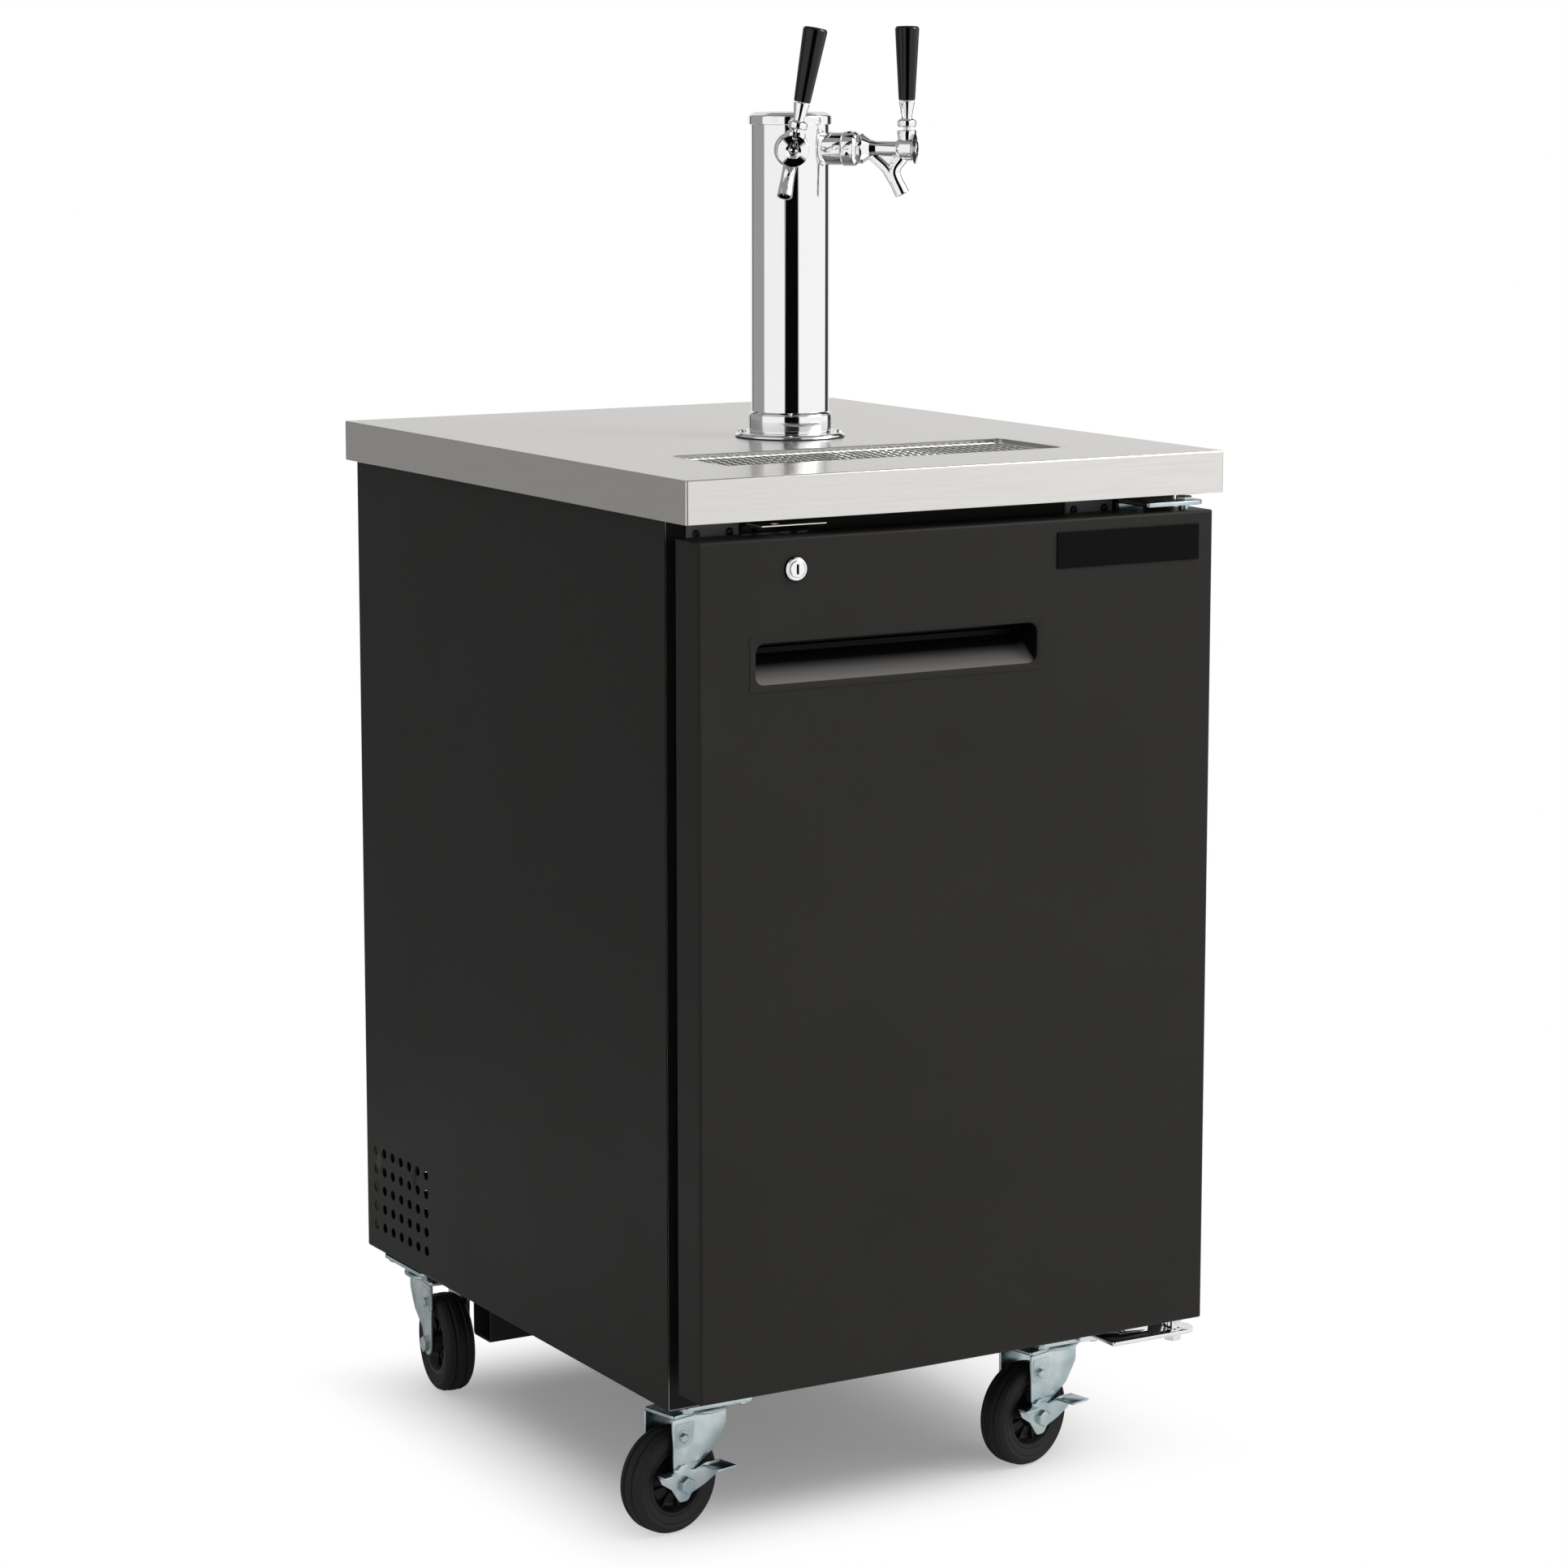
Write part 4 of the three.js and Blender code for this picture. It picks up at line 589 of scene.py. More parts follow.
# Zinc-plated steel: bright with a bluish passivation that gathers in slow patches.
zinc_plate, tree, shader = new_material("zinc-plated steel", "#c3cfd3", 0.24, 1)
place = add_node(tree, "ShaderNodeTexCoord", {}).outputs["Object"]
patches = add_node(tree, "ShaderNodeTexNoise", {"Vector": place, "Scale": 38, "Detail": 4})
grain = add_node(tree, "ShaderNodeTexNoise", {"Vector": place, "Scale": 900, "Detail": 2})
hue = add_node(tree, "ShaderNodeValToRGB", {"Fac": patches})
hue.color_ramp.elements[0].position = 0.32
hue.color_ramp.elements[0].color = linear("#a9bcc3")
hue.color_ramp.elements[1].position = 0.66
hue.color_ramp.elements[1].color = linear("#d3dbdc")
satin = add_node(tree, "ShaderNodeMapRange", {
    "Value": patches, "From Min": 0.3, "From Max": 0.7, "To Min": 0.2, "To Max": 0.34})
bump = add_node(tree, "ShaderNodeBump", {
    "Height": grain, "Strength": 0.12, "Distance": 0.0001})
feed(tree, shader, {"Base Color": hue, "Roughness": satin,
                    "Normal": bump})

panel_low, panel_high = corners("rear_panel")
slot_rows, slot_pitch, slot_height, slot_half = 8, 20, 8, 75
first_slot = shell_bottom + 30
slot_middle = Vector((0, panel_high.y, first_slot + slot_height / 2 + (slot_rows - 1) / 2 * slot_pitch))
upright = Matrix.Rotation(math.pi / 2, 4, "X")
slot_rows_place = Matrix.Translation(slot_middle) @ upright
slot_grid = {"Material": galvanised, "Columns": 2, "Rows": slot_rows, "Column pitch": panel_high.x,
             "Row pitch": slot_pitch}
slot_punch = block((-slot_half, -slot_height / 2, -4), (slot_half, slot_height / 2, 4))
slots = grown(row_tree, slot_punch, slot_grid)
panel = cut(block(panel_low, panel_high), moved(slots, slot_rows_place))
finish_piece("rear_sheet", panel, galvanised, "cabinet", "galvanised", "rear_panel")

hood_sheet = 0.9
hood_out = 2.6
hood_section = rounded([
    (-slot_height / 2, -hood_out, 0), (slot_height / 2, -hood_out, 1.6), (slot_height / 2 + 2, 0, 0),
    (slot_height / 2 + 2 - hood_sheet, 0, 0), (slot_height / 2 - hood_sheet, hood_sheet - hood_out, 1),
    (-slot_height / 2, hood_sheet - hood_out, 0)])
hood = plate(hood_section, -slot_half, slot_half, axis="X")
louvres = grown(row_tree, hood, slot_grid)
finish_repeat("rear_louvres", moved(louvres, slot_rows_place), galvanised, "cabinet")

screw_inset = 12
screw_column = panel_high.z - panel_low.z - 2 * screw_inset
panel_screws = [(side * (panel_high.x - screw_inset), -panel_low.z - screw_inset - share * screw_column, 0)
                for side in (-1, 1) for share in (0, 0.25, 0.5, 0.75, 1)]
screws = grown(spot_tree, screw_head(4.5, 2.4, 1.6), {"Material": zinc_plate}, panel_screws)
facing_back = Matrix.Translation((0, panel_high.y, 0)) @ upright.inverted()
finish_repeat("rear_screws", moved(screws, facing_back), zinc_plate, "cabinet")


# Inner liner: a stainless box folded and riveted over the machine room's step. A moulded black frame
# caps its front rim and the foam behind it, and carries the brackets, the strike and the hinges.
def dress(node, material):
    """A CAD node that keeps its own shape gets its material."""
    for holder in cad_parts[node].material_slots:
        holder.material = material


# Mill-finish stainless steel, as on interiors: soft grey reflections with a fine grain up and down.
mill_steel = patterned("mill-finish stainless steel", "#c2c1be", 0.36, (1, 2, 620, 620, 9), metallic=1,
                       gloss=(0.3, 0.42))
dress("cabinet_liner", mill_steel)

# Moulded ABS: matt black with the fine grain of an etched mould.
abs_black = patterned("black moulded ABS", "#121211", 0.46, (700, 3), relief=(0.35, 0.0002),
                      specular_ior_level=0.15)

liner_low, liner_high = corners("cabinet_liner")
wall_between = 50.8
frame_proud = 0.2
frame_depth = 1.4


def upright_loop(left, right, bottom, top, radius, level):
    """A rounded rectangle in X and Z at one place along Y."""
    return [(p.x, level, p.y) for p in rectangle(left, right, bottom, top, radius)]


rim_front = liner_low.y - frame_proud
rim_back = rim_front + frame_depth
opening = (liner_low.x + wall_between, liner_high.x - wall_between,
           liner_low.z + wall_between, liner_high.z - 50)
outer_rim = (liner_low.x + 0.3, liner_high.x - 0.3, liner_low.z + 0.3, liner_high.z - 0.3)
breaker = lofted([
    upright_loop(*outer_rim, 1, rim_back), upright_loop(*outer_rim, 1, rim_front),
    upright_loop(*opening, 6, rim_front), upright_loop(*opening, 6, rim_back)], ring=True)
finish_piece("front_frame", softened(breaker, 0.4), abs_black, "cabinet", "black_plastic")

# Polyurethane foam: cream, blown in place, so its cells show as fine pits.
blown_foam = patterned("blown polyurethane foam", "#d9c48c", 0.9, (500, 0), kind="Voronoi",
                       relief=(0.6, 0.0006))


def copied(node):
    """A CAD node's mesh in millimetres, with its loose triangles merged into flat faces."""
    bm = bmesh.new()
    bm.from_mesh(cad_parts[node].data)
    bm.transform(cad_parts[node].matrix_world)
    bm.transform(Matrix.Scale(1000, 4))
    bmesh.ops.remove_doubles(bm, verts=bm.verts, dist=0.01)
    bmesh.ops.dissolve_limit(bm, angle_limit=math.radians(1), verts=bm.verts, edges=bm.edges)
    return bm


vent_windows = joined(*[block(
    (side * (shell_high.x - 5) - 5, vent_middle.y - 70, vent_middle.z - 50),
    (side * (shell_high.x - 5) + 5, vent_middle.y + 70, vent_middle.z + 50)) for side in (-1, 1)])
finish_piece("foam_fill", cut(copied("foam_insulation"), vent_windows), blown_foam, "cabinet", "foam",
             "foam_insulation")


# Compressor: two drawn steel shells welded at a rolled seam, enamelled black, on a base plate with
# four rubber feet, with its terminal cover on the side.

# Enamel: a black gloss coat with soft runs.
enamel = patterned("black enamelled steel", "#151516", 0.28, (60, 3), relief=(0.2, 0.0006))

# Moulded rubber: matt, with a grey bloom in patches and a fine skin.
rubber = patterned("moulded rubber", "#161616", 0.72, (45, 5), tones=("#121212", "#1f1e1d"),
                   relief=(0.3, 0.0002, 800, 2), ior=1.52)

ring_tree, given = repeat_tree("a ring of a shape", {
    "Shape": "Object", "Material": "Material", "Count": "Int", "Radius": "Float", "First angle": "Float"})
index = add_node(ring_tree, "GeometryNodeInputIndex", {})
part_turn = add_node(ring_tree, "ShaderNodeMath", {0: 2 * math.pi, 1: given["Count"]}, operation="DIVIDE")
turn_to = add_node(ring_tree, "ShaderNodeMath", {
    0: index, 1: part_turn, 2: given["First angle"]}, operation="MULTIPLY_ADD")
spot = add_node(ring_tree, "ShaderNodeCombineXYZ", {})
for axis, share in (("X", "COSINE"), ("Y", "SINE")):
    part = add_node(ring_tree, "ShaderNodeMath", {0: turn_to}, operation=share)
    reach = add_node(ring_tree, "ShaderNodeMath", {0: part, 1: given["Radius"]}, operation="MULTIPLY")
    feed(ring_tree, spot, {axis: reach})
facing = add_node(ring_tree, "ShaderNodeCombineXYZ", {"Z": turn_to})
standing = add_node(ring_tree, "FunctionNodeEulerToRotation", {"Euler": facing})
points = add_node(ring_tree, "GeometryNodePoints", {"Count": given["Count"], "Position": spot})
end_tree(ring_tree, given, points, standing)


pump_low, pump_high = corners("compressor")
pump_radius = (pump_high.x - pump_low.x) / 2
pump_middle = (pump_low + pump_high) / 2
seam = pump_middle.z
shell_radius = pump_radius - 4
pump = turned_round([
    (0, pump_low.z + 8, 0), (shell_radius, pump_low.z + 8, 26), (shell_radius, seam - 5, 1),
    (pump_radius, seam - 4, 1), (pump_radius, seam + 1, 1), (shell_radius, seam + 2, 1),
    (shell_radius, pump_high.z, 30), (0, pump_high.z, 0)])
base_plate = turned_round([(0, pump_low.z + 6, 0), (44, pump_low.z + 6, 1), (44, pump_low.z + 9, 1),
                           (0, pump_low.z + 9, 0)])
cover = softened(block((shell_radius - 14, -22, seam - 34), (shell_radius + 3, 22, seam - 8)), 2, 3)
pump_place = Matrix.Translation((pump_middle.x, pump_middle.y, 0))
finish_piece("compressor_shell", moved(joined(pump, base_plate, cover), pump_place), enamel,
             "cabinet", "cast_iron", "compressor")
foot = turned_round([(0, 0, 0), (8, 0, 1), (6, 3, 1), (8, 6, 1), (0, 6, 0)], 20)
feet = grown(ring_tree, foot, {"Material": rubber, "Count": 4, "Radius": 34, "First angle": 0.8})
finish_repeat("compressor_feet", moved(feet, pump_place @ Matrix.Translation((0, 0, pump_low.z))),
              rubber, "cabinet")


# Condenser: a stack of thin aluminium fins pressed on copper tubes that turn back at both ends.

# Rolled aluminium: grey, with dull streaks along the rolling. Copper tube: tarnished in patches.
aluminium = patterned("rolled aluminium", "#b9bbbd", 0.38, (1, 3, 400, 40, 400), metallic=1,
                      gloss=(0.3, 0.48))
copper = patterned("drawn copper tube", "#b8693f", 0.3, (50, 4), metallic=1, tones=("#c4764a", "#8c4f33"))

coil_low, coil_high = corners("condenser_coil")
coil_middle = (coil_low + coil_high) / 2
fin_pitch = 4
fin_count = int((coil_high.y - coil_low.y - 16) / fin_pitch)
fin = block((coil_low.x - coil_middle.x, coil_low.z - coil_middle.z, -0.25),
            (coil_high.x - coil_middle.x, coil_high.z - coil_middle.z, 0.25))
fins = grown(row_tree, moved(fin, upright), {
    "Material": aluminium, "Columns": 1, "Rows": fin_count, "Column pitch": 0, "Row pitch": fin_pitch})
finish_piece("condenser_fins", moved(fins, Matrix.Translation(coil_middle)), aluminium, "cabinet",
             "aluminium", "condenser_coil")
tube_rows, tube_pitch, tube_aside, tube_radius = 6, 26, 18, 4
tube_reach = (coil_high.y - coil_low.y) / 2 - 3
bent_tube = [(math.cos(a) * tube_aside / 2, tube_reach - 9 + math.sin(a) * 9)
             for a in (math.pi * step / 12 for step in range(13))]


def tube_along(points, radius, sides=12, closed=False):
    """A round tube that follows points, of one radius or of one at each point, with its ends closed."""
    points = [Vector(point) for point in points]
    radii = radius if isinstance(radius, list) else [radius] * len(points)
    loops = []
    across = None
    for index, point in enumerate(points):
        before = points[index - 1] if index or closed else point
        after = points[(index + 1) % len(points)] if index < len(points) - 1 or closed else point
        ahead = (after - before).normalized()
        if across is None:
            across = ahead.orthogonal().normalized()
        across = (across - ahead * across.dot(ahead)).normalized()
        up = ahead.cross(across)
        loops.append([point + radii[index] * (across * math.cos(2 * math.pi * side / sides)
                                              + up * math.sin(2 * math.pi * side / sides))
                      for side in range(sides)])
    return lofted(loops, ring=closed)


hairpin = tube_along([(tube_aside / 2, -tube_reach, 0)] + [(u, v, 0) for u, v in bent_tube]
                     + [(-tube_aside / 2, -tube_reach, 0)], tube_radius)
hairpins = grown(row_tree, moved(hairpin, upright.inverted()), {
    "Material": copper, "Columns": 1, "Rows": tube_rows, "Column pitch": 0, "Row pitch": tube_pitch})
finish_repeat("condenser_tubes", moved(hairpins, Matrix.Translation(coil_middle) @ upright), copper,
              "cabinet")


# Fans: a pressed or moulded blade wheel on its motor's shaft; the condenser's stands in a square
# shroud beside the coil, and the evaporator's blows through a round hole in its housing.
shaft_hole = 3.3


def blade_wheel(tip, hub, length, count, material):
    """A hub with curved blades, which turns about Z, centred on the origin."""
    blade = bmesh.new()
    rows = []
    for share in (0, 0.3, 0.65, 1):
        radius = hub * 0.8 + (tip - hub * 0.8) * share
        half = 9 + 9 * share
        for side in (-1, 1):
            rows.append([blade.verts.new((
                radius * math.cos(t * half / radius), radius * math.sin(t * half / radius),
                t * 5 - 1.6 * (1 - t * t) + side * 0.6)) for t in (-1, -0.5, 0, 0.5, 1)])
    for near, far in zip(range(0, 6, 2), range(2, 8, 2)):
        for face in (0, 1):
            for k in range(4):
                blade.faces.new((rows[near + face][k], rows[near + face][k + 1],
                                 rows[far + face][k + 1], rows[far + face][k]))
        for k in (0, 4):
            blade.faces.new((rows[near][k], rows[near + 1][k], rows[far + 1][k], rows[far][k]))
    for end in (0, 6):
        for k in range(4):
            blade.faces.new((rows[end][k], rows[end][k + 1], rows[end + 1][k + 1], rows[end + 1][k]))
    bmesh.ops.recalc_face_normals(blade, faces=blade.faces)
    blades = grown(ring_tree, blade, {"Material": material, "Count": count, "Radius": 0, "First angle": 0})
    boss = turned([(shaft_hole, -length / 2), (hub - 1, -length / 2), (hub, 1 - length / 2),
                   (hub, length / 2 - 3), (hub - 3, length / 2), (shaft_hole, length / 2),
                   (shaft_hole, -length / 2)], 40)
    return joined(blades, boss)


# White ABS: the same etched grain, shallower, on a clean white.
white_abs = patterned("white moulded ABS", "#e0e0dc", 0.42, (700, 2), relief=(0.2, 0.0002), ior=1.54)

finish_piece("condenser_shroud", softened(copied("condenser_fan_motor"), 0.8), abs_black, "cabinet",
             "black_plastic", "condenser_fan_motor")
blade_low, blade_high = corners("condenser_fan_blade")
wheel = blade_wheel((blade_high.z - blade_low.z) / 2, 14, blade_high.x - blade_low.x, 5, aluminium)
finish_piece("condenser_blades", moved(wheel, Matrix.Translation((blade_low + blade_high) / 2) @ lying),
             aluminium, "condenser_fan", "aluminium", "condenser_fan_blade")

finish_piece("evaporator_cover", softened(copied("evaporator_housing"), 0.7), white_abs, "cabinet",
             "white_plastic", "evaporator_housing")
blade_low, blade_high = corners("evaporator_fan_blade")
fan_middle = (blade_low + blade_high) / 2
wheel = blade_wheel((blade_high.z - blade_low.z) / 2, 14, blade_high.y - blade_low.y, 5, abs_black)
finish_piece("evaporator_blades", moved(wheel, Matrix.Translation(fan_middle) @ upright), abs_black,
             "evaporator_fan", "black_plastic", "evaporator_fan_blade")
guard_front = corners("evaporator_housing")[0].y - 5
wires = [tube_along([(r * math.cos(t), guard_front, fan_middle.z + r * math.sin(t)) for t in (
    2 * math.pi * step / 48 for step in range(48))], 1.1, 8, closed=True) for r in range(12, 66, 9)]
spoke = tube_along([(0, -66, 0), (0, -12, 0)], 1.4, 8)
spokes = moved(grown(ring_tree, spoke, {
    "Material": zinc_plate, "Count": 4, "Radius": 0, "First angle": 0.785}),
    Matrix.Translation((0, guard_front + 2, fan_middle.z)) @ upright)
finish_piece("fan_guard", joined(spokes, *wires), zinc_plate, "cabinet", "zinc")


# Worktop: brushed stainless sheet over a board, with its rim folded down and its corners welded and
# ground. It is cut out for the drip tray and bored for the tower, which both stand on it.
def face_grain(bm, along_sides):
    """A UV map in metres with U along the brushing: X on each face, or Y on faces that look sideways."""
    grain = bm.loops.layers.uv.new("grain")
    for face in bm.faces:
        sideways = along_sides and abs(face.normal.x) > 0.7
        upward = abs(face.normal.z) > 0.7
        for loop in face.loops:
            x, y, z = loop.vert.co / 1000
            loop[grain].uv = (y, z) if sideways else ((x, y) if upward else (x, z))
    return bm


# Belt-ground stainless steel: pale and silky. Long fine scratches along U draw its reflections out
# across them, so the tower shows in it as soft upright bands.
brushed_steel, tree, shader = new_material(
    "belt-ground stainless steel", "#dddbd7", 0.21, 1, anisotropic=0.85, anisotropic_rotation=0.25)
grain_map = add_node(tree, "ShaderNodeUVMap", {}, uv_map="grain")
drawn = add_node(tree, "ShaderNodeMapping", {"Vector": grain_map, "Scale": (30, 2600, 1)})
fine = add_node(tree, "ShaderNodeTexNoise", {"Vector": drawn, "Scale": 1, "Detail": 3},
                noise_dimensions="2D")
broad = add_node(tree, "ShaderNodeMapping", {"Vector": grain_map, "Scale": (10, 420, 1)})
bands = add_node(tree, "ShaderNodeTexNoise", {"Vector": broad, "Scale": 1, "Detail": 2},
                 noise_dimensions="2D")
both = add_node(tree, "ShaderNodeMath", {0: fine, 1: bands}, operation="MULTIPLY")
dull = add_node(tree, "ShaderNodeMapRange", {
    "Value": both, "From Min": 0.12, "From Max": 0.4, "To Min": 0.2, "To Max": 0.23})
shade = add_node(tree, "ShaderNodeMapRange", {"Value": both, "From Min": 0.12, "From Max": 0.4})
tint = add_node(tree, "ShaderNodeMix", {
    "Factor": shade, "A": linear("#d6d4d1"), "B": linear("#dad8d4")}, data_type="RGBA")
scratch = add_node(tree, "ShaderNodeBump", {
    "Height": fine, "Strength": 0.03, "Distance": 0.00002})
tangent = add_node(tree, "ShaderNodeTangent", {}, direction_type="UV_MAP", uv_map="grain")
feed(tree, shader, {"Base Color": tint, "Roughness": dull,
                    "Normal": scratch, "Tangent": tangent})

top_low, top_high = corners("worktop")
top_sheet = 1.5
rim_round = 1.8
corner_round = 2.4
tray_middle = Vector((-8, -204))
tray_half = Vector((186, 58))
tray_corner = 9
lip_width = 4
tower_middle = Vector((11, -25, 0))
tower_hole = 30
quarter = [math.pi / 2 * step / 4 for step in range(5)]


def level_loop(low, high, corner, level, steps=5):
    """A rounded rectangle in X and Y at one height."""
    return [(p.x, p.y, level) for p in rectangle(low[0], high[0], low[1], high[1], corner, steps)]


def worktop_loop(inset, level):
    """The worktop's outline, taken in a little."""
    return level_loop((top_low.x + inset, top_low.y + inset), (top_high.x - inset, top_high.y - inset),
                      max(corner_round - inset, 0.4), level)


def tray_loop(grow, level):
    """The drip tray's outline, let out or taken in."""
    reach = tray_half + Vector((grow, grow))
    return level_loop(tray_middle - reach, tray_middle + reach, tray_corner + grow, level, 7)


worktop_loops = [worktop_loop(top_sheet, top_high.z - top_sheet), worktop_loop(top_sheet, top_low.z + 0.3),
                 worktop_loop(top_sheet - 0.3, top_low.z), worktop_loop(0.3, top_low.z),
                 worktop_loop(0, top_low.z + 0.3)]
worktop_loops += [worktop_loop(rim_round * (1 - math.cos(a)), top_high.z - rim_round * (1 - math.sin(a)))
                  for a in quarter]
tray_opening = lofted([tray_loop(lip_width + 0.2, top_high.z + level) for level in (-5, 5)])
tower_bore = moved(rod(tower_hole, top_high.z - 5, top_high.z + 5, 48), Matrix.Translation(tower_middle))
worktop = cut(cut(lofted(worktop_loops), tray_opening), tower_bore)
bmesh.ops.remove_doubles(worktop, verts=worktop.verts, dist=0.005)
worktop.normal_update()
finish_piece("brushed_worktop", face_grain(worktop, True), brushed_steel, "cabinet", "stainless", "worktop",
             sharp=28)

# Sealed fibre board: brown layers, seen only from below and at the cut-outs.
dress("worktop_core", patterned("sealed fibre board", "#7a5a3a", 0.75, (1, 5, 60, 60, 900),
                                tones=("#5f452d", "#8f6d49")))


# Drip tray: a pan drawn from stainless sheet, whose lip lies in the worktop's cut-out. Its floor has
# a drain, and a punched grille with a hemmed edge stands in it on four feet.

# Drawn stainless steel: smoother than the ground top, with short marks from the press.
drawn_steel = patterned("drawn stainless steel", "#d3d2cf", 0.2, (1, 3, 30, 1400, 1400), metallic=1,
                        gloss=(0.14, 0.27))


def collar(inner, outer, low, high, sides):
    """A square-edged ring about Z."""
    return turned([(inner, low), (outer, low), (outer, high), (inner, high), (inner, low)], sides)


pan_wall = 2
pan_floor = top_high.z - 26
pan_round = 5
pan_loops = [(-pan_wall - pan_round, pan_floor - pan_wall), (-2, pan_floor - pan_wall), (0, pan_floor),
             (0, top_high.z - top_sheet), (lip_width, top_high.z - top_sheet),
             (lip_width, top_high.z - 0.4), (lip_width - 0.4, top_high.z),
             (0.8 - pan_wall, top_high.z), (-pan_wall, top_high.z - 0.8)]
pan_loops += [(-pan_wall - pan_round * (1 - math.cos(a)), pan_floor + pan_round * (1 - math.sin(a)))
              for a in quarter]
pan = lofted([tray_loop(grow, level) for grow, level in pan_loops])
drain_middle = Matrix.Translation((tray_middle.x, tray_middle.y, 0))
drain_radius, drain_length = 9, 13
drain_hole = moved(rod(drain_radius - pan_wall, pan_floor - 20, pan_floor + 5), drain_middle)
drain_bottom = pan_floor - drain_length
drain = collar(drain_radius - pan_wall, drain_radius, drain_bottom, pan_floor - 0.5, 32)
finish_piece("drawn_tray", joined(cut(pan, drain_hole), moved(drain, drain_middle)), drawn_steel,
             "cabinet", "stainless", "drip_tray")

grille_top = corners("drip_grille")[1].z
grille_under = grille_top - 2
tile_width, tile_depth = 8.5, 17.6
tile_columns, tile_lines = 42, 6


def slot_loop(half, straight, level):
    """A slot's outline: two half circles joined by straight sides."""
    turns = [math.radians(36 * k) for k in range(6)]
    return ([(half * math.cos(t), straight + half * math.sin(t), level) for t in turns]
            + [(-half * math.cos(t), -straight - half * math.sin(t), level) for t in turns])


def tile_edge(level):
    """A tile's outline, with a point for each of a slot's."""
    side, end, near = tile_width / 2, tile_depth / 2, tile_width / 8
    upper = [(side, 4), (side, end), (near, end), (-near, end), (-side, end), (-side, 4)]
    return [(x, y, level) for x, y in upper] + [(-x, -y, level) for x, y in upper]


# Each slot is pushed up from below, so that a thin lip stands round it and catches the light.
tile_loops = [tile_edge(0.2), slot_loop(3.5, 4, 0.2), slot_loop(2.6, 4, 1), slot_loop(2.1, 4, 0.8),
              slot_loop(2.1, 4, -0.8), tile_edge(-0.8)]
tile = bmesh.new()
tile_rows = [[tile.verts.new(point) for point in loop] for loop in tile_loops]
for upper, lower in zip(tile_rows, tile_rows[1:]):
    for k in range(12):
        tile.faces.new((upper[k], lower[k], lower[(k + 1) % 12], upper[(k + 1) % 12]))
bmesh.ops.recalc_face_normals(tile, faces=tile.faces)
punched = grown(row_tree, tile, {
    "Material": drawn_steel, "Columns": tile_columns, "Rows": tile_lines, "Column pitch": tile_width,
    "Row pitch": tile_depth, "Stagger": 0.5})
hem = 2.6
hem_width = 2.6
hem_loops = [(-hem, grille_under), (-hem, grille_top), (-hem - hem_width, grille_top),
             (-hem - hem_width, grille_under)]
hemmed = softened(lofted([tray_loop(grow, level) for grow, level in hem_loops], ring=True), 0.6)
feet_at = [(tray_middle.x + side * (tray_half.x - 15), tray_middle.y + end * (tray_half.y - 8), 0)
           for side in (-1, 1) for end in (-1, 1)]
foot = turned([(0, pan_floor), (2.4, pan_floor), (3, pan_floor + 1), (3, grille_under),
               (0, grille_under)], 16)
grille_feet = grown(spot_tree, foot, {"Material": drawn_steel}, feet_at)
finish_piece("punched_grille", joined(moved(punched, Matrix.Translation(
    (tray_middle.x - tile_width / 4, tray_middle.y, grille_top - 1))), hemmed, grille_feet),
    drawn_steel, "cabinet", "stainless", "drip_grille")


# Tower: a chromed brass tube on a spun flange, which two screws and a thin rubber ring hold on the
# worktop. A turned collar covers its foot, and a domed cap is held by a set screw.

# Chrome plate: a mirror, with the faint waviness of polished tube.
chrome = patterned("polished chrome plate", "#f3f3f4", 0.045, (90, 4), metallic=1, gloss=(0.02, 0.08),
                   relief=(0.03, 0.0004, 28, 2))

tower_place = Matrix.Translation(tower_middle)
tower_foot = top_high.z
tube_radius, tube_wall = 38.1, 1.6
flange_radius, flange_height = 54, 5
ring_line = 0.8
flange = turned_round([
    (tower_hole, tower_foot + ring_line, 0), (flange_radius - 0.6, tower_foot + ring_line, 1),
    (flange_radius, tower_foot + 2.4, 1.4), (flange_radius - 2.2, tower_foot + flange_height, 2),
    (tower_hole, tower_foot + flange_height, 0)], 96, ring=True)
finish_piece("spun_flange", moved(flange, tower_place), chrome, "cabinet", "chrome", "tower_flange")
seal_ring = collar(tower_hole, flange_radius - 0.3, tower_foot, tower_foot + ring_line, 96)
finish_piece("flange_seal", moved(seal_ring, tower_place), rubber, "cabinet", "rubber")
screw_circle = 47
screws_at = [(side * screw_circle * math.cos(view_yaw), -side * screw_circle * math.sin(view_yaw), 0)
             for side in (-1, 1)]
flange_screws = grown(spot_tree, screw_head(4.4, 2, 1.5), {"Material": chrome}, screws_at)
finish_repeat("flange_screws", moved(flange_screws, tower_place @ Matrix.Translation(
    (0, 0, tower_foot + flange_height))), chrome, "cabinet")

faucet_bearing = {"left": -29, "right": 46}
faucet_lean = {"left": 10.5, "right": 0}
shank_height = tower_foot + 281
collar_end, nut_end = 53.4, 68.4


def shank_place(side):
    """The frame of one faucet: its shank leaves the tower along -Y."""
    turn = Matrix.Rotation(math.radians(faucet_bearing[side]), 4, "Z")
    return Matrix.Translation((tower_middle.x, tower_middle.y, shank_height)) @ turn


